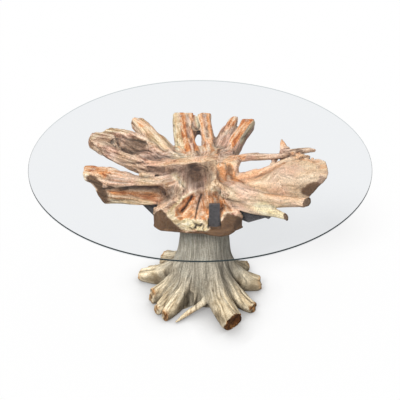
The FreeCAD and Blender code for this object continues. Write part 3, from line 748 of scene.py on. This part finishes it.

# stains: kind, strength, radius, path, mm; rows of the dark coat for hollows are mostly painted shade in
# hollows and gaps, a few are dark broken ends
crownStains = [
    ("sawn", 0.75, 24, [(-352, -135, 668), (-260, -100, 650), (-185, -118, 650)]),
    ("sawn", 0.85, 28, [(-495, -80, 744), (-425, -100, 744)]),
    ("sawn", 0.5, 13, [(-425, -100, 744), (-330, -108, 728)]),
    ("sawn", 0.9, 13, [(-405, -135, 660), (-365, -135, 642)]),
    ("sawn", 0.9, 13, [(-318, 385, 746), (-272, 300, 746)]),
    ("sawn", 0.8, 30, [(166, 385, 744), (150, 340, 744)]),
    ("sawn", 1.0, 21, [(94, -46, 742), (99, -50, 706), (103, -60, 660)]),
    ("sawn", 1.0, 18, [(132, -42, 735), (138, -48, 700), (160, -60, 664)]),
    ("sawn", 0.55, 22, [(165, -55, 668), (240, -45, 684), (310, -30, 700), (380, -35, 722)]),
    ("sawn", 0.6, 20, [(120, -10, 744), (190, 28, 744)]),
    ("sawn", 0.8, 18, [(382, 140, 736), (381, 178, 744)]),
    ("sawn", 0.55, 22, [(565, -62, 746), (540, -70, 746)]),
    ("sawn", 0.6, 14, [(447, 48, 741), (440, 0, 738)]),
    ("sawn", 0.6, 14, [(503, 25, 741), (490, -20, 738)]),
    ("sawn", 0.45, 14, [(290, -180, 668), (450, -200, 664)]),
    ("sealed", 1.0, 26, [(-474, -128, 714), (-448, -132, 688), (-440, -132, 650), (-428, -132, 610)]),
    ("sealed", 1.0, 20, [(-440, -133, 682), (-388, -134, 668)]),
    ("sapwood", 0.7, 24, [(-500, -110, 736), (-496, -118, 715)]),
    ("sealed", 1.0, 30, [(500, -150, 688), (468, -148, 662)]),
    ("weather", 1.0, 36, [(566, -124, 722), (540, -136, 706)]),
    ("hollow", 0.6, 17, [(523, -150, 708), (538, -142, 724)]),
    ("hollow", 0.7, 46, [(-330, 185, 696), (-285, 160, 696)]),
    ("hollow", 0.3, 26, [(70, -150, 640), (120, -165, 600)]),
    ("sapwood", 0.4, 20, [(-500, 195, 740), (-462, 250, 740), (-417, 258, 744), (-350, 248, 744)]),
    ("hollow", 0.4, 24, [(-372, 215, 722), (-300, 205, 715)]),
    ("sapwood", 0.8, 9, [(152, -50, 706), (166, -52, 676)]),
    ("sawn", 0.5, 40, [(440, 20, 738), (505, 0, 740)]),
    ("hollow", 0.7, 11, [(-396, 205, 726), (-370, 200, 722)]),
    ("hollow", 1.0, 14, [(-16, 312, 714), (4, 312, 714)]),
    ("hollow", 0.6, 13, [(318, -212, 622)]),
    ("weather", 1.0, 30, [(-5, -99, 666), (-6, -136, 660), (-2, -150, 640)]),
    ("hollow", 0.35, 22, [(-5, -99, 664), (-6, -128, 662)]),
    ("hollow", 0.6, 11, [(132, -42, 736), (135, -44, 700), (146, -54, 662)]),
    ("hollow", 0.45, 30, [(-300, 176, 694), (-262, 140, 700)]),
    ("sapwood", 1.0, 30, [(262, -198, 620), (372, -238, 595)]),
    ("sapwood", 0.6, 24, [(-390, -130, 600), (-230, -130, 590)]),
    ("sapwood", 0.9, 20, [(-8, 345, 736), (-6, 420, 740)]),
    ("sapwood", 0.9, 24, [(-126, 430, 738), (-112, 250, 738), (-88, 110, 738)]),
    ("sawn", 1.0, 13, [(-90, 425, 746), (-76, 250, 746), (-58, 80, 746)]),
    ("sawn", 1.0, 11, [(-42, 425, 746), (-30, 250, 746), (-16, 80, 746)]),
    ("sawn", 1.0, 11, [(-2, 425, 746), (10, 250, 746), (22, 80, 746)]),
    ("sawn", 1.0, 13, [(40, 425, 746), (46, 250, 746), (56, 40, 746), (66, 14, 746)]),
    ("sawn", 0.7, 9, [(120, 200, 744), (80, 70, 744), (70, 20, 744)]),
    ("sawn", 0.6, 8, [(-100, 120, 744), (-60, 40, 744)]),
    ("hollow", 0.8, 6, [(-14, 70, 744), (-4, 34, 744)]),
    ("hollow", 0.8, 6, [(88, 96, 742), (78, 50, 742)]),
    ("hollow", 0.7, 6, [(-120, 84, 740), (-84, 44, 742)]),
    ("sapwood", 0.8, 16, [(262, 360, 730), (190, 180, 728)]),
    ("sapwood", 1.0, 24, [(-60, -196, 540), (-10, -206, 520), (18, -212, 498)])]
# fading coats: kind, strength, radius, path, mm; round the cave, under the spear strip and in hollows
# the dark and weathered rows are painted shade
crownShades = [
    ("hollow", 1.25, 46, [(-36, -6, 722), (-26, -10, 702), (-16, -46, 680)]),
    ("hollow", 0.7, 36, [(-12, -60, 684), (-4, -96, 668)]),
    ("hollow", 0.75, 38, [(32, -26, 724), (32, -56, 700)]),
    ("weather", 0.9, 22, [(-236, -36, 716), (-160, -54, 716), (-100, -56, 714)]),
    ("hollow", 0.4, 26, [(-92, -44, 716), (-64, -56, 704)]),
    ("weather", 0.8, 40, [(-100, -60, 712), (-60, -80, 692), (-40, -112, 672)]),
    ("hollow", 0.9, 30, [(-350, -112, 668), (-260, -96, 660), (-190, -110, 654), (-150, -124, 640)]),
    ("sawn", 1.0, 34, [(-352, -120, 652), (-260, -100, 640), (-200, -118, 636)]),
    ("weather", 0.8, 30, [(-175, -126, 650), (-140, -136, 620)]),
    ("sapwood", 0.5, 36, [(-110, 60, 742), (-60, 30, 742)]),
    ("sapwood", 0.6, 34, [(-300, 350, 744), (-236, 240, 744), (-160, 110, 744)]),
    ("hollow", 0.55, 30, [(-350, -130, 650), (-260, -112, 640), (-190, -122, 640)]),
    ("weather", 0.5, 66, [(300, -100, 712), (420, -112, 720), (510, -112, 724)]),
    ("weather", 0.35, 40, [(150, -140, 664), (260, -160, 655), (400, -190, 650)]),
    ("hollow", 0.8, 24, [(-225, -36, 716), (-166, -54, 722), (-134, -62, 728), (-99, -56, 727),
                         (-68, -44, 720)]),
    ("weather", 0.9, 26, [(-240, 20, 738), (-200, 27, 736), (-150, 36, 734)]),
    ("hollow", 0.4, 20, [(-240, 22, 738), (-200, 29, 736), (-160, 36, 734)]),
    ("sapwood", 0.7, 18, [(-112, -78, 706), (-98, -96, 694), (-85, -108, 680)])]
# tops made paler, painted light: radius, path, mm
crownPaintedLight = [
    (38, [(-318, 390, 744), (-236, 240, 744), (-160, 110, 744)]),
    (34, [(-96, 74, 742), (-50, 36, 742)]),
    (26, [(-460, 250, 744), (-400, 262, 744), (-350, 252, 744)]),
    (46, [(480, -72, 746), (560, -62, 746)]),
    (20, [(300, -200, 618), (366, -234, 604)]),
    (18, [(-12, 350, 734), (-14, 415, 738)]),
    (18, [(-106, -86, 700), (-84, -106, 682)])]
# sawn ends: middle and radius in mm, and the way the cut faces
crownEnds = [((461, -212, 653), 34, (0.66, -0.72, 0.2)), ((373, -237, 595), 26, (0.76, -0.5, 0.4))]
coats = {kind: np.zeros(len(points)) for kind in rootLook["coats"]}


# raises a coat to the strength given
def paintOver(kind, strength):
    coats[kind] = np.maximum(coats[kind], strength)


for kind, strength, radius, path in crownStains:
    paintOver(kind, strength * stain(points, path, radius, ragged))
for kind, strength, radius, path in crownShades:
    paintOver(kind, np.minimum(strength * haze(points, path, radius) * (1 + 0.15 * ragged), 1))
coats["sealed"] *= 1 - 0.8 * stain(points, *crownSpots["knob"], ragged)
calmShare, strandShare, sawnShare, weatherShare, sapShare = np.array(list(limbLooks.values()))[owner].T
outOfHub = stepUp(*crownLook["outOfHub"], fromAxis)
facingBack = normal[:, 1]
calm = 0.65 * calmShare * ~stump * (1 - 0.75 * endOn) * (1 - 0.8 * stepUp(0.0, 0.4, facingBack))
paintOver("sawn", sawnShare * topFlat * outOfHub)
paintOver("weather", weatherShare * (0.75 + 0.35 * ragged) * outOfHub)
paintOver("sapwood", sapShare * (0.7 + 0.4 * ragged))
bowl = onFront * (1 - stepUp(-3, 3, bowlGap))
rim = onFront * (1 - stepUp(-3, 3, creamGap)) * (1 - bowl)
under = stepUp(0.55, 0.85, -normal[:, 2]) * frontLimb
broken = onFront * stain(points, *crownSpots["broken"], ragged)
splits = stain(points, *crownSpots["splits"], ragged) * stepUp(0.15, 0.4, speckle(points, 13, 85))
sealedSides = frontLimb * stepUp(0.120, 0.135, -y) * (1 - stepUp(-2, 2, sealedGap))
saddle = haze(points, *crownSpots["saddle"])
paintOver("sawn", 0.95 * bowl)
coats["sawn"] *= 1 - 0.75 * saddle
paintOver("weather", 0.8 * saddle)
paintOver("sapwood", 0.7 * rim)
paintOver("sealed", np.maximum(sealedSides, under))
coats["sapwood"] *= 1 - 0.9 * coats["sealed"]
# painted shade in the splits of the torn top
paintOver("hollow", 0.75 * splits)
paintOver("weather", 0.55 * stump * (1 - coats["sealed"]))
nearTop = stepUp(*crownLook["stripBand"], z - topLevel)
spear = stain(points, spearPath, crownLook["stripReach"]) * nearTop
wedge = stain(points, wedgePath, crownLook["wedgeReach"]) * stepUp(0.042, 0.048, -y)
cave = stain(points, crownSpots["cave"][0], crownLook["caveFloor"])
for kind in ("sawn", "hollow", "weather"):
    coats[kind] *= 1 - spear
paintOver("sawn", 0.25 * spear)
patina = stepUp(0.05, 0.6, speckle(points, 50, 91) + 0.6 * speckle(points, 20, 92))
paintOver("weather", 0.65 * patina * (1 - spear) * (1 - bowl) * (1 - 0.9 * calm))
cutShare = np.clip(topFlat * outOfHub + coats["sealed"] + 0.85 * bowl + spear + wedge + 0.35 * cave, 0, 1)

# shape, mm outward: broad lumps, strands along the grain, torn ends, the bowl and the bar's notch
lumpSize, lumpHeight = crownLook["lump"]
push = (1 - 0.7 * cutShare) * speckle(points, lumpSize, 1) * lumpHeight
furrow = strandShare * (0.45 + 0.55 * outOfHub) * (1 + 0.9 * stepUp(0.1, 0.5, facingBack))
furrow = np.where(stump, 0.6, furrow)
push += (1 - 0.85 * cutShare) * furrow * strands(grainPlace, points, crownLook["strands"])
push += crownLook["tornRough"] * stain(points, *crownSpots["torn"]) * speckle(points, 16, 71)
push += crownLook["brokenRough"] * broken * speckle(points, 12, 83)
push += crownLook["lip"] * frontLimb * stepUp(0.132, 0.16, -y) * stepUp(0.2, 0.7, -normal[:, 2])
bowlDeep = np.clip(-bowlGap / bowlLook["slope"], 0, 1)
push -= bowlLook["depth"] * bowl * bowlDeep ** 0.7
barLow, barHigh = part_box("front_upright")
barGap = np.abs(x - (barLow.x + barHigh.x) / 2) - (barHigh.x - barLow.x) / 2
bar = onFront * (1 - stepUp(0.001, 0.004, barGap)) * stepUp(0.508, 0.514, z)
push -= bowlLook["notch"] * bar * (1 - bowl * bowlDeep)
# each groove: width, depth, path, mm; cut in and painted dark, as painted shade
crownGrooves = [
    (6, 26, [(-36, -150, 640), (-62, -172, 600), (-80, -180, 578)]),
    (3.5, 9, [(6, -142, 648), (-12, -171, 594), (-22, -190, 553)]),
    (6, 12, [(-420, 120, 742), (-330, 70, 742)]),
    (4.5, 9, [(-30, -200, 540), (-17, -204, 526), (-22, -209, 510)]),
    (4.0, 8, [(-17, -204, 526), (2, -205, 521), (8, -203, 530)]),
    (3.0, 7, [(20, -202, 540), (13, -208, 512), (16, -211, 500)]),
    (3.0, 6, [(-44, -208, 514), (-36, -209, 506)])]
for width, depth, path in crownGrooves:
    groove = haze(points, path, width)
    push -= depth * groove
    paintOver("hollow", groove)
points = relaxed(points + normal * (push * mm)[:, None], edges, 1, 0.4)
points[:, 2] = np.minimum(points[:, 2], topLevel)
points[:, 2] = np.maximum(points[:, 2], lowLevel - 0.014 * frontLimb * stepUp(0.132, 0.15, -points[:, 1]))
# what lies beyond the plane of a sawn end comes back to it
for middle, radius, facing in crownEnds:
    facing, beyond, aside = fromPlane(points, middle, facing)
    cut = (beyond > -0.0015) & (beyond < 0.06) & (aside < radius * mm)
    points = points - (np.maximum(beyond, 0) * cut)[:, None] * facing
    paintOver("sealed", cut * (0.8 + 0.2 * stepUp(0.5, 0.7, aside / (radius * mm))))
    for kind in ("sawn", "sapwood", "hollow"):
        coats[kind] *= 1 - 0.7 * cut

# painted light and shade: light on what stands out, dark in what lies low, painted light on flat and listed
# tops
paintedLight = np.max([haze(points, path, radius) for radius, path in crownPaintedLight], 0)
cavity = paintedShadingOf(points, quads, edges, crownLook["cavity"]) + 0.12 * topFlat + 0.16 * paintedLight
for kind in ("weather", "hollow"):
    coats[kind] *= 1 - 0.85 * paintedLight
smoothCut = (1 - cutShare) * (1 - 0.5 * calm) * (1 - 0.75 * endOn)
crown = setMesh("crown_skin", points, quads)
setValues(crown, {"grain": grainPlace, "cavity": np.clip(cavity, 0, 1), "smoothCut": smoothCut, "calm": calm,
                  **coats})
crown.data.materials.append(rootWood)
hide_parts("limb_dowels", *crownNodes)
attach(crown, "base")
print("crown done")

# bare trunk wood: silver-grey fibres run down the trunk and out along the feet, which turn cream;
# cut ends are brown
trunkLook = {
    "noises": {"streak": ("grain", (160, 6.0, 30), 3.0, 0.6, 0.2),
               "fine": ("grain", (60, 3.0, 20), 2.0, 0.6, 0.0),
               "fuzz": ("space", (6, 6, 6), 3.0, 0.7, 0.0)},   # coarser than real fibre, so that it shows
    "bark": [(0.34, "#746D5F"), (0.43, "#9E9787"), (0.53, "#BAB2A2"), (0.66, "#D6CEBB")],
    "coats": {"lichen": [(0.34, "#7F7A6C"), (0.43, "#A8A393"), (0.53, "#C4BFAF"), (0.66, "#DDD8C8")],
              "foot": [(0.34, "#7E6A50"), (0.43, "#B8A484"), (0.53, "#DAC9A9"), (0.66, "#F1E4C9")],
              # dirt coat: dirt, and painted shade in the crotches between feet and over the right foot;
              # darker at the floor
              "dirt": [(0.34, "#3E3223"), (0.45, "#6B5940"), (0.55, "#8C7A5E"), (0.66, "#B09E7E")],
              "sawn": [(0.34, "#4A2C16"), (0.45, "#8A5C34"), (0.55, "#B58A5A"), (0.66, "#D8B88C")],
              "hollow": [(0.40, "#35190A"), (0.49, "#75461F"), (0.58, "#B88048")]},
    "shade": (0.38, 1.42), "pores": (0.7, 1.26), "roughness": 0.7, "bump": 1.5}
trunkWood, tree = newMaterial("bare_silver_trunk_wood")
noises = woodNoises(tree, trunkLook["noises"])
tone = addNode(tree, "Mix", {"data_type": "FLOAT", 0: 0.4}, {2: noises["streak"], 3: noises["fine"]})
bark = addNode(tree, "ValToRGB", {"stops": trunkLook["bark"]}, {"Fac": tone})
woodSurface(tree, trunkLook, coated(tree, trunkLook, bark, tone), noises["fuzz"], tone)

# trunk: the trunk solid under one skin, each foot running up into it as a buttress
# feet: heading in degrees, reach, width and height of its buttress, mm
trunkFeet = [(170, 329, 30, 250), (137, 276, 34, 250), (206, 285, 30, 330), (223, 310, 26, 260),
             (234, 316, 26, 260), (294, 340, 42, 270), (321, 311, 30, 240), (356, 289, 34, 270),
             (32, 268, 26, 230), (72, 284, 30, 240), (106, 290, 30, 240), (152, 318, 16, 190)]
# oldSplinter: the reach it is found beyond, the reach it is drawn back to, and the headings it lies between
trunkShape = {
    "voxel": 4.0, "axis": (0.016, 0.0), "rounds": 34, "ring": 0.125, "thickFoot": 20, "frontHeading": 294,
    "strands": [(420, 26, 2.2, 51), (240, 11, 1.2, 53)],
    "footStrands": [(420, 24, 4.4, 61), (190, 11, 2.8, 63)],
    "splinter": ([(44, -118, 120), (26, -172, 64), (-10, -196, 42), (-52, -220, 27), (-118, -274, 10)],
                 [16, 18, 15, 13, 5]),
    "oldSplinter": (168, 150, 240.5, 254),
    "frontFoot": ([(80, -140, 96), (108, -205, 66), (136, -270, 54), (170, -354, 52)], [46, 49, 52, 52]),
    "frontCut": ((158, -313, 48), (0.66, -0.70, -0.18)), "frontTop": ([(84, -170, 110), (130, -280, 92)], 44),
    # the back foot is painted lighter, painted light; the right foot is painted darker, painted shade
    "backFootLight": ([(-120, 128, 90), (-186, 188, 60)], 76),
    "rightFootShade": ([(180, -50, 70), (216, -60, 50), (290, -60, 30)], 52),
    # the last entry sets the painted shading: lighter where the skin stands out, darker where it lies low
    "cavity": {"rounds": 16, "moreRounds": 70, "base": 0.53, "bulge": 5, "valley": 30,
               "limits": (-0.35, 0.15)}}
axis = np.array([*trunkShape["axis"], 0])


# direction of a heading in degrees
def wayOf(heading):
    return np.cos(np.radians(heading)), np.sin(np.radians(heading))


# buttress of one foot: a tube from the foot's middle up the side of the trunk, thinning as it rises
def buttress(heading, reach, width, height):
    c, s = wayOf(heading)
    rows = [(0.72 * reach, 52), (0.55 * reach, 92), (142, 0.5 * height), (120, 0.75 * height), (106, height)]
    radii = [0.75 * width, 1.05 * width, width, 0.7 * width, 0.3 * width]
    if width > trunkShape["thickFoot"]:   # runs on past its cut
        rows, radii = [(reach + 16, 0.9 * width)] + rows, [0.85 * width] + radii
    return tube([(axis[0] / mm + out * c, out * s, level) for out, level in rows], radii)


# spoke from the trunk's axis to each point, its length and its turn
def spokes(points):
    spoke = (points - axis)[:, :2]
    return spoke, np.linalg.norm(spoke, axis=1), np.arctan2(spoke[:, 1], spoke[:, 0])


# the straight splinter foot is drawn back into the trunk, and one that starts beside the front foot
# grows in its place
solidPoints, solidTris = cadMesh("trunk_pedestal")
fromReach, toReach, fromTurn, toTurn = trunkShape["oldSplinter"]
spoke, out, turn = spokes(solidPoints)
heading = np.degrees(turn) % 360
drawn = (out > fromReach * mm) & (heading > fromTurn) & (heading < toTurn)
solidPoints[:, :2] = solidPoints[:, :2] + spoke * (drawn * (toReach * mm / out - 1))[:, None]
footTubes = [tube(*trunkShape[name]) for name in ("frontFoot", "splinter")]
points, quads = voxelSkin([(solidPoints, solidTris)] + footTubes + [buttress(*row) for row in trunkFeet],
                          trunkShape["voxel"] * mm)
edges = quadEdges(quads)
print("trunk skin:", len(points), "points", len(quads), "quads")
splinterTip = trunkShape["splinter"][0][2:]
spoke, out, turn = spokes(points)
soft = (out >= 0.045) * stepUp(-0.001, 0.002, points[:, 2]) * (1 - 0.9 * haze(points, splinterTip, 34))
points = relaxed(points, edges, trunkShape["rounds"], 0.5 * soft[:, None])
# sawn and broken foot ends: what lies beyond the reach of a foot comes back to it
torn = 0.006 * speckle(points, 16, 44)
cutEnd = np.zeros(len(points))
endRim = np.zeros(len(points))
for heading, reach, width, height in trunkFeet:
    if heading == trunkShape["frontHeading"]:   # has its own cut below
        continue
    c, s = wayOf(heading)
    facing, gap = np.array([c, s, 0.12]), points - axis
    beyond = gap @ facing - reach * mm + torn
    onFoot = np.abs(gap @ np.array([-s, c, 0])) < 0.07
    cut = (beyond > 0) & onFoot
    points = points - (beyond * cut)[:, None] * facing
    if width > trunkShape["thickFoot"]:
        cutEnd = np.maximum(cutEnd, cut)
        endRim = np.maximum(endRim, stepUp(-0.014, -0.002, beyond) * onFoot)
points = relaxed(points, edges, 1, 0.3)
spoke, out, turn = spokes(points)
normal = outward(points, quads)
level, facingUp = points[:, 2], normal[:, 2]
# grain runs down the trunk and out along the feet; the turn is written as a point on a circle
# so that it has no seam
trunkRun = np.maximum(out - 0.13, 0) - level
wander = 0.06 * speckle(points, 120, 37) + 0.025 * speckle(points, 40, 38)
turn = turn + wander * (1 - 0.75 * stepUp(0.17, 0.25, out))
ring = trunkShape["ring"]
grainPlace = np.stack([trunkRun, ring * np.cos(turn), ring * np.sin(turn)], 1)
radial = (normal[:, :2] * spoke).sum(1) / (out + 1e-9)
footEnd = np.maximum(stepUp(0.5, 0.8, radial) * stepUp(0.215, 0.245, out), cutEnd)
ragged = speckle(points, 18, 31)
frontTip = footEnd * stepUp(0.26, 0.29, -points[:, 1]) * stepUp(0.05, 0.09, points[:, 0])
footShare = stepUp(0.13, 0.27, out + 0.02 * ragged) * (0.55 + 0.45 * stepUp(-0.1, 0.6, facingUp))
# dirt and painted shade: dirt streaks along the feet, darker in a line at the floor, painted shade in the
# crotches between feet and over the right foot, less on faces turned up as painted light
soil = smoothNoise(grainPlace / (np.array([150, 16, 16]) * mm), 35)
soil += 0.6 * smoothNoise(grainPlace / (np.array([60, 7, 7]) * mm), 36)
dirt = np.maximum(0.75 * stepUp(0.1, 0.7, soil + 0.4 * ragged), 0.8 * (1 - stepUp(0.004, 0.03, level)))
crotch = stepUp(0.12, 0.16, out) * (1 - stepUp(0.10, 0.26, level + 0.05 * ragged)) * (1 - footShare)
dirt = np.maximum(stepUp(0.16, 0.23, out) * dirt, 0.45 * crotch) * (1 - 0.55 * stepUp(0.3, 0.8, facingUp))
# painted light on the back foot: less dark coat, more cream and lighter shading
backFootLight = haze(points, *trunkShape["backFootLight"])
dirt = dirt * (1 - 0.7 * haze(points, *trunkShape["frontTop"])) * (1 - 0.8 * backFootLight)
dirt = np.maximum(dirt, 0.75 * haze(points, *trunkShape["rightFootShade"]))
footShare = np.maximum(footShare, 0.95 * backFootLight)
lichen = 0.8 * stepUp(0.1, 0.6, speckle(points, 45, 39) + 0.6 * speckle(points, 14, 40))
# shape, mm outward: strands on the trunk and wider ones on the feet, broad lumps, rough ends
aboveFloor = stepUp(0.0, 0.004, level) * stepUp(0.05, 0.06, out)
trunkStrands = (1 - 0.4 * stepUp(0.16, 0.30, level)) * strands(grainPlace, points, trunkShape["strands"])
footStrands = footShare * strands(grainPlace * np.array([1, 2, 2]), points, trunkShape["footStrands"])
smoothTip = 1 - 0.85 * haze(points, splinterTip, 30)
push = aboveFloor * (1 - 0.6 * footEnd) * (trunkStrands + footStrands) * smoothTip
push += 2.0 * speckle(points, 80, 13) * aboveFloor - 4.0 * frontTip * (1 + ragged)
points = points + normal * (push * mm)[:, None]
points = points + normal * (footEnd * 5 * speckle(points, 14, 41) * aboveFloor * mm)[:, None]
points = relaxed(points, edges, 1, 0.3)
# front foot's oblique end: what lies beyond its plane comes back to it, a little hollowed in the middle
facing, beyond, aside = fromPlane(points, *trunkShape["frontCut"])
sawnFront = (beyond > -0.002) & (beyond < 0.09) & (aside < 0.07)
dished = 0.004 + 0.012 * (1 - stepUp(0.3, 0.9, aside / 0.045)) + 0.004 * speckle(points, 12, 42)
points = points - ((np.maximum(beyond, 0) + dished * (beyond > 0)) * sawnFront)[:, None] * facing
points[:, 2] = np.clip(points[:, 2], 0, float(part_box("trunk_pedestal")[1].z))
# painted shading of the trunk, with painted light on the back foot and a little more painted shade on the
# sawn front end
cavity = paintedShadingOf(points, quads, edges, trunkShape["cavity"]) - 0.1 * sawnFront + 0.22 * backFootLight
brownEnds = np.maximum(footEnd, 0.75 * endRim) * ~sawnFront * stepUp(-0.7, 0.5, speckle(points, 20, 43))
trunk = setMesh("trunk_skin", points, quads)
setValues(trunk, {"grain": grainPlace, "cavity": np.clip(cavity, 0, 1), "lichen": lichen, "foot": footShare,
                  "dirt": dirt, "sawn": brownEnds, "hollow": 1.0 * sawnFront})
trunk.data.materials.append(trunkWood)
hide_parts("trunk_pedestal")
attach(trunk, "base")
print("trunk done")

# float glass with a ground and polished edge: clear faces, a faint cool tint and a dark line along the rim,
# a painted reflection of the polished edge
glassLook = {"tint": "#F7F8F9", "rim": "#2F3A3C", "farRim": "#D5DADB", "rimRoughness": 0.12, "mirror": 0.06,
             "arris": 1.5, "around": 256}
glassFace, tree = newMaterial("clear_float_glass")
clear = addNode(tree, "BsdfTransparent", {"Color": linearColor(glassLook["tint"])})
shine = addNode(tree, "BsdfGlossy", {"Color": white, "Roughness": 0.02})
slant = addNode(tree, "LayerWeight", {"Blend": 0.5}).outputs["Facing"]
mirror = addNode(tree, "MapRange", {"From Min": 0.3, "To Max": glassLook["mirror"]}, {"Value": slant})
both = addNode(tree, "MixShader", {}, {0: mirror, 1: clear, 2: shine})
ray = addNode(tree, "LightPath")   # light falls through the sheet without a shadow
bare = addNode(tree, "BsdfTransparent", {"Color": white})
both = addNode(tree, "MixShader", {}, {0: ray.outputs["Is Shadow Ray"], 1: both, 2: bare})
addNode(tree, "OutputMaterial", {}, {"Surface": both})
glassRimReflection, tree = newMaterial("polished_glass_edge_painted_reflection")
# painted reflection: a dark colour on the near rim faces stands for what the polished edge reflects
dark = addNode(tree, "BsdfPrincipled", {"Base Color": linearColor(glassLook["rim"]),
                                        "Roughness": glassLook["rimRoughness"], "IOR": 1.5})
clear = addNode(tree, "BsdfTransparent", {"Color": linearColor(glassLook["farRim"])})
ray = addNode(tree, "LightPath")   # the far edge, met through the sheet, stays pale
both = addNode(tree, "MixShader", {}, {0: ray.outputs["Transparent Depth"], 1: dark, 2: clear})
addNode(tree, "OutputMaterial", {}, {"Surface": both})

# glass sheet: its profile, from the middle of the top over the arrises to the middle of the bottom,
# turned full circle
low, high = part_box("glass_top")
radius = (high.x - low.x) / 2
arris = glassLook["arris"] * mm
outs = np.array([radius * 0.5, radius - 3 * arris, radius - arris, radius, radius])
levels = np.array([high.z, high.z, high.z, high.z - arris, (low.z + high.z) / 2])
outs = np.concatenate([outs, outs[-2::-1]])
levels = np.concatenate([levels, low.z + high.z - levels[-2::-1]])
count = glassLook["around"]
spin = np.linspace(0, 2 * np.pi, count, endpoint=False)
levels = np.repeat(levels[:, None], count, 1)
rings = np.stack([outs[:, None] * np.cos(spin), outs[:, None] * np.sin(spin), levels], -1)
walls, topCap, bottomCap = ringFaces(len(outs), count)
glassPoints = np.concatenate([rings.reshape(-1, 3), [[0, 0, high.z], [0, 0, low.z]]])
mesh = bpy.data.meshes.new("glass_sheet")
mesh.from_pydata(glassPoints.tolist(), [], walls.tolist() + topCap.tolist() + bottomCap.tolist())
mesh.update()
glass = newPiece("glass_sheet", mesh)
mesh.materials.append(glassFace)
mesh.materials.append(glassRimReflection)
onRim = np.zeros(len(mesh.polygons), np.int32)
onRim[2 * count:4 * count] = 1   # upper arris and upper half of the edge
mesh.polygons.foreach_set("material_index", onRim)
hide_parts("glass_top")
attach(glass, "glass")
print("glass done")


# cloudy noise of a size in mm on the piece's own coordinates, and its colours
def mottled(tree, size, detail, roughness, stops):
    place = addNode(tree, "TexCoord")
    cloud = addNode(tree, "TexNoise", {"Scale": 1 / (size * mm), "Detail": detail, "Roughness": roughness},
                    {"Vector": place.outputs["Object"]})
    return cloud, addNode(tree, "ValToRGB", {"stops": stops}, {"Fac": cloud})


# satin black mild steel, hot rolled and painted: soft sheen with faint mottling
steelPaint, tree = newMaterial("satin_black_painted_steel")
mottle, paint = mottled(tree, 9, 4.0, 0.65, [(0.34, "#413F3E"), (0.5, "#555254"), (0.66, "#6E6B6C")])
gloss = addNode(tree, "MapRange", {"To Min": 0.34, "To Max": 0.55}, {"Value": mottle})
bump = addNode(tree, "Bump", {"Strength": 0.3, "Distance": 0.3 * mm}, {"Height": mottle})
surface = addNode(tree, "BsdfPrincipled", {"IOR": 1.5},
                  {"Base Color": paint, "Roughness": gloss, "Normal": bump})
addNode(tree, "OutputMaterial", {}, {"Surface": surface})

# bright zinc-plated steel: pale metal with a slight spangle
zincSteel, tree = newMaterial("zinc_plated_steel")
plate = mottled(tree, 4, 2.0, 0.5, [(0.35, "#9EA1A3"), (0.65, "#C9CCCE")])[1]
surface = addNode(tree, "BsdfPrincipled", {"Metallic": 1.0, "Roughness": 0.32}, {"Base Color": plate})
addNode(tree, "OutputMaterial", {}, {"Surface": surface})

# clear silicone pad: soft, see-through, slightly milky
silicone, tree = newMaterial("clear_silicone_pad")
tint = mottled(tree, 6, 2.0, 0.5, [(0.35, "#E3DDD2"), (0.65, "#F2EEE6")])[1]
clear = addNode(tree, "BsdfTransparent", {"Color": white})
gel = addNode(tree, "BsdfPrincipled", {"Roughness": 0.3, "IOR": 1.41}, {"Base Color": tint})
both = addNode(tree, "MixShader", {0: 0.14}, {1: clear, 2: gel})
addNode(tree, "OutputMaterial", {}, {"Surface": both})

finishes = {steelPaint: ["neck_plate", "left_bracket", "right_bracket", "front_upright", "upright_screws"],
            zincSteel: ["plate_screws", "bracket_screws", "center_rod", "rod_washer", "rod_nut"],
            silicone: ["glass_bumpers"]}
for finish, names in finishes.items():
    for name in names:
        for slot in nodes[name].material_slots:
            slot.material = finish
print("hardware finished")
